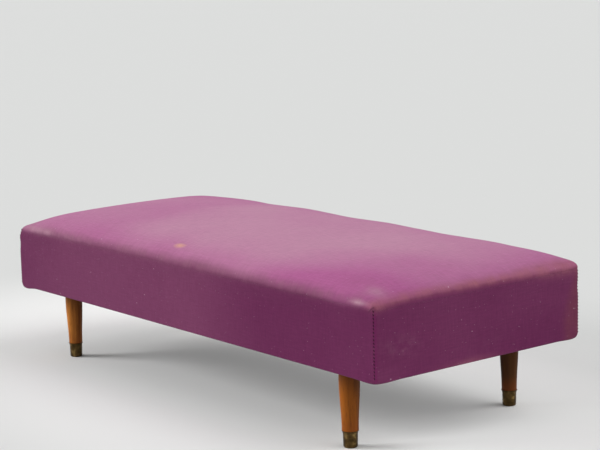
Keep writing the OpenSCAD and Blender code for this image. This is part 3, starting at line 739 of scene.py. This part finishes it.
def pull_seams(place):
    """The stitches draw the two edges of the cloth together into a puckered groove, and pull
    short folds out of the top corner."""
    x, y, z = place.T
    off_x, off_y = from_seam(place)
    away = np.hypot(off_x, off_y)
    along = ramp(z, seam_low, seam_fade[0]) * ramp(z, seam_high, -seam_fade[1])
    stitch = 0.5 + 0.5 * np.cos(2 * np.pi * (z - seam_low) / seam_pitch)
    groove = groove_depth * hump(away, 0, groove_reach) * along
    groove = groove * (groove_least + (1 - groove_least) * stitch)
    welt = welt_height * hump(away, welt_at, welt_reach) * along
    welt = welt * (welt_least + (1 - welt_least) * stitch)
    side = np.where(off_x < off_y, 1, -1) * (0.6 + 0.4 * np.sign(x))
    down = corner_height - top_fold_start - z
    fold = hump(away, top_fold_lean * down * side, top_fold_width) * hump(away, 0, top_fold_reach)
    fold = top_fold_depth * fold * ramp(down, 0, top_fold_start) * (z < corner_height)
    inward = (groove - welt + fold) / math.sqrt(2)
    moved = place.copy()
    moved[:, 0] -= np.sign(x) * inward
    moved[:, 1] -= np.sign(y) * inward
    return moved


set_places(cover.data, pull_seams(get_places(cover.data)))
apply_modifier(cover, "SOLIDIFY", thickness=cloth_thickness, offset=-1)


def paint(mesh, name, value):
    """Stores one number a point, which the material reads."""
    made = mesh.attributes.new(name, "FLOAT", "POINT")
    made.data.foreach_set("value", np.asarray(value, np.float32))


# The edge of the faded top runs a little above the corner's height. Along the front it dips
# and rises (place, reach and dip) and its soft upper side widens (place, reach and width);
# along the end it rises (place, reach and rise).
edge_above = 0.012
front_dips = ((-0.95, 0.14, 0.014), (-0.45, 0.20, 0.002), (0.13, 0.07, -0.003),
              (0.36, 0.05, 0.004), (0.52, 0.07, 0.0035), (0.84, 0.12, 0.012),
              (0.95, 0.03, 0.006))
front_blurs = ((0.88, 0.15, 0.014), (0.58, 0.26, 0.004))
end_rises = ((-0.12, 0.17, 0.002), (-0.18, 0.07, 0.003), (-0.05, 0.05, 0.003))
front_fades = (0.016, 0.0126)  # below and above the edge
end_fades = (0.006, 0.0060)

points = get_places(cover.data)
x, y, z = points.T
above = z - corner_height
on_top = above > 0
on_side = above < 0
on_end = ramp(x, half_length - 0.02, 0.02)
on_front = 1 - on_end
to_far_corner = ramp(y, 0.10, 0.25)
to_near_corner = ramp(y, -0.30, -0.08)
edge_line = edge_above * (1 - (x / half_length) ** 20) * (1 - (y / half_width) ** 12)
edge_line = edge_line - on_end * (0.006 * to_far_corner + 0.004 * to_near_corner)
fade_low = front_fades[0] * on_front + end_fades[0] * on_end
fade_high = front_fades[1] * on_front + end_fades[1] * on_end
for at_x, reach, dip in front_dips:
    edge_line = edge_line - on_front * dip * hump(x, at_x, reach)
for at_x, reach, width in front_blurs:
    fade_high = fade_high + on_front * width * hump(x, at_x, reach)
for at_y, reach, rise in end_rises:
    edge_line = edge_line + on_end * rise * hump(y, at_y, reach)
paint(cover.data, "top_side", ramp(above, edge_line - fade_low, fade_low + fade_high))

# Sun has bleached the middle of the top, least along its front, back and right edges
paler_to = 0.64 - 0.12 * ramp(y, 0.08, -0.20)
pale = 0.52 + 0.41 * ramp(x, -0.48, 0.26) - 0.66 * ramp(x, paler_to, 0.38)
pale = pale * (1 - 0.55 * ramp(x, -0.85, 0.35) * hump(y, -half_width, 0.07))
pale = pale * (1 - 0.42 * hump(y, half_width, 0.18))
pale = pale - 0.62 * ramp(x, 0.30, 0.35) * hump(y, -half_width, 0.20)
paint(cover.data, "faded", pale)

# The sides are painted paler along the middle of the front, and unevenly along the end
along_front = (0.5 + 0.5 * ramp(x, -half_length, 0.45)) * (1 - ramp(x, 0.05, 0.45))
near_foot = ramp(z, 0.30, -0.05) * ramp(y, -0.25, -0.10)
far_foot = ramp(z, 0.38, -0.10) * ramp(y, -0.15, 0.25)
end_paler = 0.33 + 0.25 * near_foot - 0.24 * far_foot
paint(cover.data, "paler_side", along_front * on_front + end_paler * on_end)

# The edges are rubbed, most at the near corner, at the left and along the end
# The pale spot on the front edge by the near corner is part wear and part painted highlight, where
# the pulled cloth catches the light
edge_wear_and_highlight = patch(x, y, (0.890, -half_width), (0.030, 0.012)) * hump(above, -0.003, 0.006)
worn_top = 0.42 * patch(x, y, (0.897, -0.342), (0.034, 0.024)) * on_top
paint(cover.data, "wear_and_painted_highlight", edge_wear_and_highlight + worn_top)
end_centre = 0.002 + 0.002 * to_far_corner - 0.006 * to_near_corner + 0.004 * hump(y, -0.18, 0.06)
end_width = 0.011 + 0.016 * to_far_corner + 0.004 * to_near_corner
paint(cover.data, "rubbed_end",
      hump(above, end_centre, end_width) * ramp(x, half_length - 0.06, 0.05))
paint(cover.data, "rubbed_side",
      hump(above, -0.002, 0.016) * (1 - ramp(x, half_length - 0.08, 0.05)))
# The front edge at the left is painted paler: part wear, part painted sheen where the cloth turns
# at the edge
left_share = 0.22 * (1 - ramp(x, -0.70, 0.30)) + 0.68 * hump(x, -0.82, 0.070)
paint(cover.data, "left_edge_wear_and_sheen", left_share * hump(above, -0.007, 0.010) * (y < 0))

# The end is scuffed on its face and along its foot, and soiled at the far corner
scuffs = patch(y, z, (-0.30, 0.325), (0.07, 0.030))
scuffs = scuffs + 0.3 * patch(y, z, (-0.02, 0.28), (0.12, 0.04))
paint(cover.data, "scuffed", scuffs * on_end)
bottom_rub = hump(z, hem_low, 0.012) * patch(x, y, (half_length, -0.05), (0.06, 0.10))
paint(cover.data, "rubbed_low", np.clip(0.7 * bottom_rub, 0, 1))
soiled_width = 0.040 + 0.05 * ramp(above, 0, -0.16)
soiled_end = 0.75 * ramp(y, half_width - soiled_width, 0.05) * on_end
soiled_top = 0.16 * patch(x, y, (0.82, -0.33), (0.10, 0.05)) * on_top
paint(cover.data, "browned", soiled_top + soiled_end)

# The seams show needle holes beside the stitches. The slit of the seam and a crease from the
# top are painted dark, as painted shade
seam_x, seam_y = from_seam(points)
beside = np.where(seam_x < seam_y, 1, -1) * np.hypot(seam_x, seam_y)
off_line = beside + seam_shift
in_seam = (z > seam_low) * (z < seam_high)
stitch = np.floor((z - seam_low) / seam_pitch)
off_hole = z - seam_low - (stitch + 0.5) * seam_pitch
pulled = np.sin(7.3 * stitch) * np.sin(2.1 * stitch + np.sign(y)) > -0.1
holes = patch(off_line, off_hole, (0, 0), (0.0018, 0.0018)) * pulled * in_seam
paint(cover.data, "pricked", 0.70 * holes)
# The cloth beside each seam is painted lighter: part rubbed wear, part painted light where the
# lamps leave the rounded corner in shade
paint(cover.data, "corner_wear_and_painted_light", hump(beside, 0, 0.0055) * on_side)
crease_shade = hump(z, seam_high + 0.006 + 0.9 * np.minimum(beside, 0), 0.0028)
crease_shade = crease_shade * ramp(beside, -0.024, 0.010) * (beside < 0) * on_side
slit_shade = hump(off_line, 0, 0.0012) * in_seam
paint(cover.data, "painted_crease_shade", np.clip(0.6 * crease_shade + 0.15 * slit_shade, 0, 1))

cloth_plum = "#5e1f48"
cloth_plum_paler = "#6e3356"
# Lighter cloth at the corners: part wear, part painted light
cloth_corner_wear_and_light = "#772b5c"
cloth_faded = "#b47f9a"
cloth_violet = "#a6588a"
rub_brown = "#985a68"
rub_grey = "#8a5a6e"
rub_pale = "#b48a9a"
soiled_brown = "#6c3542"
# Painted shade for the seam's slit and the crease at its top
crease_shade_colour = "#2c0f24"
lint_white = "#c9a9ba"
stain_yellow = "#d8a67e"
thread_pitch = 0.0016
slub_length = 0.045
slub_width = 0.005
lint_sizes = ((0.052, 0.0015, 0.75), (0.014, 0.0008, 0.50))  # spacing, radius and strength
stain_at = (-0.021, -0.353, 0)
stain_turn = math.radians(3)
stain_reach = (0.038, 0.015, 1)

# Wool takes dye unevenly along its threads, and its fuzz catches light at a low angle
wool, tree, shader = start_material("plain_woven_wool", Roughness=0.9, Sheen_Weight=0.08,
                                    Sheen_Roughness=0.45, Sheen_Tint="#f0d4e4",
                                    Specular_IOR_Level=0.1)
place = add_node(tree, "UVMap", uv_map="cloth")
weave = woven(tree, place, thread_pitch, 0.6)
warp = add_node(tree, "Mapping", {"Vector": place, "Scale": (1 / slub_length, 1 / slub_width, 1)})
weft = add_node(tree, "Mapping", {"Vector": place, "Scale": (1 / slub_width, 1 / slub_length, 1)})
warp_slubs = add_node(tree, "TexNoise", {"Vector": warp, "Scale": 1, "Detail": 3})
weft_slubs = add_node(tree, "TexNoise", {"Vector": weft, "Scale": 1, "Detail": 3})
slubs = add_node(tree, "Math", {0: warp_slubs, 1: weft_slubs}, operation="ADD")
clouds = add_node(tree, "TexNoise", {"Vector": place, "Scale": 3.2, "Detail": 4})
wisps = add_node(tree, "TexNoise", {"Vector": place, "Scale": 22, "Detail": 5, "Roughness": 0.65})
paler_side = add_node(tree, "Attribute", attribute_name="paler_side").outputs["Fac"]
faded = add_node(tree, "Attribute", attribute_name="faded").outputs["Fac"]
top_side = add_node(tree, "Attribute", attribute_name="top_side").outputs["Fac"]
spread = add_node(tree, "MapRange", {0: clouds, 1: 0.35, 2: 0.65, 3: -0.12, 4: 0.12})
uneven_paler = add_node(tree, "Math", {0: paler_side, 1: spread}, operation="ADD", use_clamp=True)
plum = add_node(tree, "Mix", {0: uneven_paler, 6: cloth_plum, 7: cloth_plum_paler})
uneven = add_node(tree, "Math", {0: faded, 1: spread}, operation="ADD", use_clamp=True)
bleached = add_node(tree, "Mix", {0: uneven, 6: cloth_violet, 7: cloth_faded})
cloth = add_node(tree, "Mix", {0: top_side, 6: plum, 7: bleached})
for band, colour, low, high in (("corner_wear_and_painted_light", cloth_corner_wear_and_light, -0.50, 0.50),
                                ("browned", soiled_brown, 0.00, 0.70),
                                ("rubbed_end", rub_brown, 0.10, 0.75),
                                ("rubbed_side", rub_grey, 0.20, 0.95),
                                ("left_edge_wear_and_sheen", rub_pale, 0.05, 0.70),
                                ("rubbed_low", rub_brown, 0.10, 0.90),
                                ("wear_and_painted_highlight", rub_pale, 0.10, 0.60),
                                ("scuffed", rub_pale, 0.46, 2.40),
                                ("pricked", rub_grey, 0.20, 0.70),
                                ("painted_crease_shade", crease_shade_colour, -0.20, 0.60)):
    share = add_node(tree, "Attribute", attribute_name=band).outputs["Fac"]
    worn = add_node(tree, "MapRange", {0: wisps, 1: low, 2: high})
    amount = add_node(tree, "Math", {0: share, 1: worn}, operation="MULTIPLY")
    cloth = add_node(tree, "Mix", {0: amount, 6: cloth, 7: colour})
thread_tone = add_node(tree, "MapRange", {0: slubs, 1: 0.7, 2: 1.3, 3: 0.91, 4: 1.09})
threaded = add_node(tree, "MixRGB", {"Fac": 1, "Color1": cloth, "Color2": thread_tone},
                    blend_type="MULTIPLY")
linted = threaded
for spacing, radius, strength in lint_sizes:
    cells = add_node(tree, "TexVoronoi", {"Vector": place, "Scale": 1 / spacing})
    speck = add_node(tree, "MapRange", {0: cells, 1: 0.7 * radius / spacing,
                                        2: 1.3 * radius / spacing, 3: strength, 4: 0})
    linted = add_node(tree, "Mix", {0: speck, 6: linted, 7: lint_white})
off_stain = add_node(tree, "Mapping", {"Vector": place, "Location": stain_at, "Scale": stain_reach,
                                       "Rotation": (0, 0, stain_turn)}, vector_type="TEXTURE")
from_stain = add_node(tree, "VectorMath", {0: off_stain}, operation="LENGTH")
ragged = add_node(tree, "Math", {0: wisps, 1: -0.9, 2: from_stain}, operation="MULTIPLY_ADD")
stained = add_node(tree, "MapRange", {0: ragged, 1: -0.3, 2: 0.5, 3: 0.64, 4: 0})
finished = add_node(tree, "Mix", {0: stained, 6: linted, 7: stain_yellow})
relief = add_node(tree, "Math", {0: weave, 1: slubs}, operation="MULTIPLY")
finish_colour(tree, shader, finished, relief, 0.0003)
put_in_place(cover, wool, "fabric_cover")


# The corner seams: twenty hand stitches up each corner in waxed linen thread, darker than
# the cloth, which dive into it on both sides of the groove that they draw. The thread is
# drawn about twice as thick as it is, so that the row of stitches shows.
thread_radius = 0.0012
stitch_reach = 0.0013
stitch_rise = 0.0004
stitch_dive = 0.0016
stitch_slant = 0.0023
stitch_count = 20
stitch_segments = 6
stitch_margin = 0.008
stitch_wander = 0.0004
thread_pale = "#2e0e22"
thread_dark = "#14040f"

linen, tree, shader = start_material("waxed_linen_thread", Roughness=0.7, Specular_IOR_Level=0.1)
place = add_node(tree, "TexCoord").outputs["Object"]
twist = add_node(tree, "TexNoise", {"Vector": place, "Scale": 900, "Detail": 2})
tone = add_node(tree, "Mix", {0: twist, 6: thread_dark, 7: thread_pale})
finish_colour(tree, shader, tone, twist, 0.0001)

for corner_name, sign_x, sign_y in (("front_left", -1, -1), ("front_right", 1, -1),
                                    ("back_left", -1, 1), ("back_right", 1, 1)):
    thread = bpy.data.curves.new("stitches_" + corner_name, "CURVE")
    thread.dimensions = "3D"
    thread.bevel_depth = thread_radius
    thread.bevel_resolution = 1
    thread.use_fill_caps = True
    outward = Vector((sign_x, sign_y, 0)).normalized()
    aside = Vector((-sign_x, sign_y, 0)).normalized()
    for k in range(stitch_count):
        share = k / (stitch_count - 1)
        height = seam_low + stitch_margin + (seam_high - seam_low - 2 * stitch_margin) * share
        beyond = Vector((sign_x * half_length, sign_y * half_width, height))
        face = cover.ray_cast(beyond + outward * 0.01 + aside * seam_shift, -outward)[1]
        points = []
        for step in range(stitch_segments + 1):
            t = 2 * step / stitch_segments - 1
            lift = stitch_rise - (stitch_rise + stitch_dive) * abs(t) ** 3
            up = stitch_slant * t + stitch_wander * math.sin(5 * k)
            points.append(face + outward * lift + aside * stitch_reach * t + Vector((0, 0, up)))
        line = thread.splines.new("POLY")
        line.points.add(len(points) - 1)
        for point, at in zip(line.points, points):
            point.co = (*at, 1)
        line.use_smooth = True
    row = bpy.data.objects.new("corner_stitches_" + corner_name, thread)
    bpy.context.scene.collection.objects.link(row)
    pick(row)
    bpy.ops.object.convert(target="MESH")
    row = bpy.context.object
    row.data.materials.clear()
    put_in_place(row, linen, "corner_seam_" + corner_name)


# The dust cover: thin black cotton cambric, matt and gone grey in clouds, tacked flat under
# the frame, cut out round the legs and sagging a little between its rows of tacks. Its
# threads are drawn three times as coarse as they are, so that they show.
dust_low, dust_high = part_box("dust_cover")
leg_reach = 0.030
leg_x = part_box("leg_front_right")[0].x / 2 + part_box("leg_front_right")[1].x / 2
leg_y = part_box("leg_back_right")[0].y / 2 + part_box("leg_back_right")[1].y / 2
dust_corner = 0.082
dust_sag = 0.004
dust_sag_reach = 0.12
dust_tacked_edge = 0.016
dust_cell = 0.02
thread_pitch_cambric = 0.0012
cambric_dark = "#1b1a1c"
cambric_pale = "#38353a"

bpy.ops.object.select_all(action="DESELECT")
bpy.ops.mesh.primitive_grid_add(x_subdivisions=round(2 * dust_high.x / dust_cell),
                                y_subdivisions=round(2 * dust_high.y / dust_cell), size=2)
dust = bpy.context.object
dust.name = "cambric_dust_cover"
x, y, z = get_places(dust.data).T
x, y = x * dust_high.x, y * dust_high.y
in_x = np.clip((np.abs(x) - dust_high.x + dust_corner) / dust_corner, 0, 1)
in_y = np.clip((np.abs(y) - dust_high.y + dust_corner) / dust_corner, 0, 1)
x = x - np.sign(x) * dust_corner * in_x * (1 - np.sqrt(1 - in_y ** 2 / 2))
y = y - np.sign(y) * dust_corner * in_y * (1 - np.sqrt(1 - in_x ** 2 / 2))
inward = np.minimum(dust_high.x - np.abs(x), dust_high.y - np.abs(y)) - dust_tacked_edge
sag = dust_sag * (1 - np.exp(-inward.clip(0) / dust_sag_reach))
sag = sag * (1 + 0.2 * np.sin(17 * x) * np.sin(13 * y))
set_places(dust.data, np.stack([x, y, dust_low.z - sag], 1))
apply_modifier(dust, "SOLIDIFY", thickness=dust_high.z - dust_low.z, offset=1)
for at_x, at_y in ((-leg_x, -leg_y), (leg_x, -leg_y), (-leg_x, leg_y), (leg_x, leg_y)):
    bpy.ops.object.select_all(action="DESELECT")
    bpy.ops.mesh.primitive_cylinder_add(radius=leg_reach, depth=0.05, vertices=48,
                                        location=(at_x, at_y, dust_low.z))
    cutter = bpy.context.object
    apply_modifier(dust, "BOOLEAN", object=cutter, operation="DIFFERENCE", solver="EXACT")
    bpy.data.objects.remove(cutter)
dust.data.shade_smooth()
cambric, tree, shader = start_material("black_cotton_cambric", Roughness=0.95, Sheen_Weight=0.2)
place = add_node(tree, "TexCoord").outputs["Object"]
weave = woven(tree, place, thread_pitch_cambric, 0.4)
lightness = add_node(tree, "TexNoise", {"Vector": place, "Scale": 9, "Detail": 4})
tone = add_node(tree, "Mix", {0: lightness, 6: cambric_dark, 7: cambric_pale})
finish_colour(tree, shader, tone, weave, 0.0002)
put_in_place(dust, cambric, "dust_cover")


# The legs: turned from solid beech, straight under the frame and tapered to the ferrule,
# stained orange brown and lacquered with a soft shine. They are redder at the foot. Painted
# light and shade: each is painted darker at the top, under the frame, and darker on its back
# right side than on its front left, and the back right leg is painted dark for the divan's shadow.
leg_low, leg_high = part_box("leg_front_right")
ferrule_low, ferrule_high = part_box("ferrule_front_right")
ferrule_top = ferrule_high.z
leg_top_radius = (leg_high.x - leg_low.x) / 2
leg_foot_radius = 0.023
tenon_top_radius = 0.01935
tenon_foot_radius = 0.01835
straight_share = 0.2
taper_end = leg_high.z - straight_share * (leg_high.z - ferrule_top)
taper_steps = 16
top_chamfer = 0.0012
tenon_shoulder = 0.0004
foot_chamfer = (0.0008, 0.001)  # in from the side, and up
stout_girth = 1.05  # one of the four was turned a little stouter
turned_sides = 96


def turn_on_lathe(name, outline):
    """A solid of revolution about the world's Z axis: a disc, drawn up through the outline."""
    bpy.ops.object.select_all(action="DESELECT")
    bpy.ops.mesh.primitive_circle_add(vertices=turned_sides, radius=outline[0][0],
                                      location=(0, 0, outline[0][1]), fill_type="NGON")
    made = bpy.context.object
    made.name = name
    bpy.ops.object.transform_apply(location=True)
    bpy.ops.object.mode_set(mode="EDIT")
    bpy.ops.mesh.select_all(action="SELECT")
    for (radius, height), (next_radius, next_height) in zip(outline, outline[1:]):
        bpy.ops.mesh.extrude_region_move(
            TRANSFORM_OT_translate={"value": (0, 0, next_height - height)})
        size = next_radius / radius
        bpy.ops.transform.resize(value=(size, size, 1), center_override=(0, 0, 0))
    bpy.ops.mesh.select_all(action="SELECT")
    bpy.ops.mesh.normals_make_consistent(inside=False)
    bpy.ops.object.mode_set(mode="OBJECT")
    bpy.ops.object.shade_smooth_by_angle(angle=math.radians(35))
    return made


def stand_up(piece, node):
    """Moves a turned piece's mesh onto the axis of the node that it replaces."""
    low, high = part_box(node)
    piece.data.transform(Matrix.Translation(((low.x + high.x) / 2, (low.y + high.y) / 2, 0)))


taper = [k / taper_steps for k in range(taper_steps + 1)]
leg_outline = [(tenon_foot_radius, leg_low.z), (tenon_top_radius, ferrule_top - tenon_shoulder),
               (leg_foot_radius - foot_chamfer[0], ferrule_top),
               (leg_foot_radius, ferrule_top + foot_chamfer[1])]
leg_outline += [(leg_foot_radius + (leg_top_radius - leg_foot_radius) * t * t * (3 - 2 * t),
                 ferrule_top + t * (taper_end - ferrule_top)) for t in taper[1:]]
leg_outline += [(leg_top_radius, leg_high.z - top_chamfer),
                (leg_top_radius - top_chamfer, leg_high.z)]

# Each leg's pair of colours is its stain as painted light and as painted shade; the back right
# leg's pair is painted dark for the divan's shadow over it
leg_stains_lit_and_shaded = {"front_left": ("#b97431", "#5e2f10"), "front_right": ("#9d5819", "#62340c"),
              "back_left": ("#9c5a22", "#743a10"), "back_right": ("#3a1d0a", "#4a2c10")}
pore_brown = "#3b1c0c"
dent_brown = "#2a140a"
foot_red = "#7d3c17"
top_painted_shade = "#4a260f"
grain_width = 0.0022
pore_length = 0.012
painted_shade_side = Vector((0.62, 0.78, 0))


def lacquered_wood(name, shift, axis, sapwood_lit, heartwood_shaded):
    """Turned beech with its grain up the leg, about an axis: sapwood on one side of it, as
    painted light, and heartwood on the other, as painted shade. shift gives each leg its own piece
    of wood."""
    made, tree, shader = start_material(name, Roughness=0.42, Coat_Weight=0.03, Coat_Roughness=0.2,
                                        Specular_IOR_Level=0.06)
    place = add_node(tree, "TexCoord").outputs["Object"]
    moved = add_node(tree, "Mapping", {"Vector": place, "Location": (shift, 2 * shift, shift)})
    stretched = add_node(tree, "Mapping", {"Vector": moved,
                                           "Scale": (1, 1, grain_width / pore_length * 0.4)})
    figure = add_node(tree, "TexNoise", {"Vector": stretched, "Scale": 0.16 / grain_width,
                                         "Detail": 4, "Distortion": 0.6})
    grain = add_node(tree, "TexNoise", {"Vector": stretched, "Scale": 1 / grain_width, "Detail": 5})
    # Painted light and shade across the leg: lighter on the front left, darker on the back right
    across = add_node(tree, "VectorMath", {0: place, 1: painted_shade_side}, operation="DOT_PRODUCT")
    middle = axis.dot(painted_shade_side)
    side = add_node(tree, "MapRange", {0: across, 1: middle - leg_top_radius,
                                       2: middle + leg_top_radius, 3: -0.25, 4: 0.25})
    share = add_node(tree, "Math", {0: figure, 1: side}, operation="ADD", use_clamp=True)
    spread = add_node(tree, "MapRange", {0: share, 1: 0.2, 2: 0.8})
    wood = add_node(tree, "Mix", {0: spread, 6: sapwood_lit, 7: heartwood_shaded})
    pore = add_node(tree, "MapRange", {0: grain, 1: 0.56, 2: 0.74, 3: 0, 4: 0.55})
    pored = add_node(tree, "Mix", {0: pore, 6: wood, 7: pore_brown})
    knocks = add_node(tree, "TexVoronoi", {"Vector": moved, "Scale": 14})
    knock = add_node(tree, "MapRange", {0: knocks, 1: 0.02, 2: 0.05, 3: 0.8, 4: 0})
    knocked = add_node(tree, "Mix", {0: knock, 6: pored, 7: dent_brown})
    height = add_node(tree, "SeparateXYZ", {0: place}).outputs["Z"]
    near_foot = add_node(tree, "MapRange", {0: height, 1: ferrule_top, 2: ferrule_top + 0.06,
                                            3: 0.38, 4: 0}, interpolation_type="SMOOTHSTEP")
    reddened = add_node(tree, "Mix", {0: near_foot, 6: knocked, 7: foot_red})
    # Painted shade: the top of each leg is darker, where the frame overhead shades it
    shade_near_top = add_node(tree, "MapRange", {0: height, 1: leg_high.z - 0.10, 2: leg_high.z, 3: 0,
                                           4: 0.8}, interpolation_type="SMOOTHSTEP")
    top_shaded = add_node(tree, "Mix", {0: shade_near_top, 6: reddened, 7: top_painted_shade})
    finish_colour(tree, shader, top_shaded, grain, 0.0001)
    return made


for index, foot in enumerate(corners):
    girth = stout_girth if foot == "front_right" else 1
    leg = turn_on_lathe("turned_leg_" + foot, [(r * girth, height) for r, height in leg_outline])
    leg_axis = (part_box("leg_" + foot)[0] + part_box("leg_" + foot)[1]) / 2
    wood = lacquered_wood("lacquered_beech_" + foot, 0.37 * index + 0.11, leg_axis,
                          *leg_stains_lit_and_shaded[foot])
    stand_up(leg, "leg_" + foot)
    put_in_place(leg, wood, "leg_" + foot)


# The ferrules: cups of spun brass with a bead and a flared lip, never polished, so that
# they have turned olive brown, with brighter metal where floors and shoes rub them.
brass_bright = "#9c8352"
brass_dull = "#5f4b2c"
brass_dark = "#3f311c"
cup_foot_radius = 0.0207
cup_mouth_radius = 0.0218
cup_foot_round = 0.0045
cup_wall = 0.001
cup_lip_radius = (ferrule_high.x - ferrule_low.x) / 2
lip_thickness = 0.0012
lip_flare = 0.003
lip_chamfer = 0.0003
bead_radius = 0.0008
bead_height = ferrule_top - 0.006
spun_pitch = 0.0008
arc_steps = 6
arc = [math.pi / 2 * k / arc_steps for k in range(arc_steps + 1)]

bead_at = cup_foot_radius + (cup_mouth_radius - cup_foot_radius) * bead_height / ferrule_top
inner_round = cup_foot_round - cup_wall
cup_outline = [(cup_foot_radius - cup_foot_round * (1 - math.sin(a)),
                cup_foot_round * (1 - math.cos(a))) for a in arc]
cup_outline += [(bead_at + bead_radius * math.cos(a), bead_height + bead_radius * math.sin(a))
                for a in [2 * t - math.pi / 2 for t in arc]]
cup_outline += [(cup_mouth_radius + (cup_lip_radius - cup_mouth_radius) * (1 - math.cos(a)),
                 ferrule_top - lip_thickness - lip_flare * (1 - math.sin(a))) for a in arc]
cup_outline += [(cup_lip_radius, ferrule_top - lip_chamfer),
                (cup_lip_radius - lip_chamfer, ferrule_top),
                (cup_mouth_radius - cup_wall, ferrule_top)]
cup_outline += [(cup_foot_radius - cup_wall - inner_round * (1 - math.sin(a)),
                 cup_wall + inner_round * (1 - math.cos(a))) for a in arc[::-1]]

brass, tree, shader = start_material("patinated_spun_brass", Metallic=1.0)
place = add_node(tree, "TexCoord").outputs["Object"]
tarnish = add_node(tree, "TexNoise", {"Vector": place, "Scale": 55, "Detail": 3, "Roughness": 0.5})
spun = add_node(tree, "TexWave", {"Vector": place, "Scale": rings_per_unit / spun_pitch,
                                  "Distortion": 0.6}, bands_direction="Z")
old = add_node(tree, "MapRange", {0: tarnish, 1: 0.35, 2: 0.65})
tone = add_node(tree, "Mix", {0: old, 6: brass_dull, 7: brass_dark})
rub = add_node(tree, "MapRange", {0: tarnish, 1: 0.42, 2: 0.28, 3: 0, 4: 0.5})
rubbed = add_node(tree, "Mix", {0: rub, 6: tone, 7: brass_bright})
shine = add_node(tree, "MapRange", {0: tarnish, 1: 0.3, 2: 0.7, 3: 0.26, 4: 0.42})
feed(tree, shader.inputs["Roughness"], shine)
finish_colour(tree, shader, rubbed, spun.outputs[1], 0.00003)
for foot in corners:
    ferrule = turn_on_lathe("brass_ferrule_" + foot, cup_outline)
    stand_up(ferrule, "ferrule_" + foot)
    put_in_place(ferrule, brass, "ferrule_" + foot)
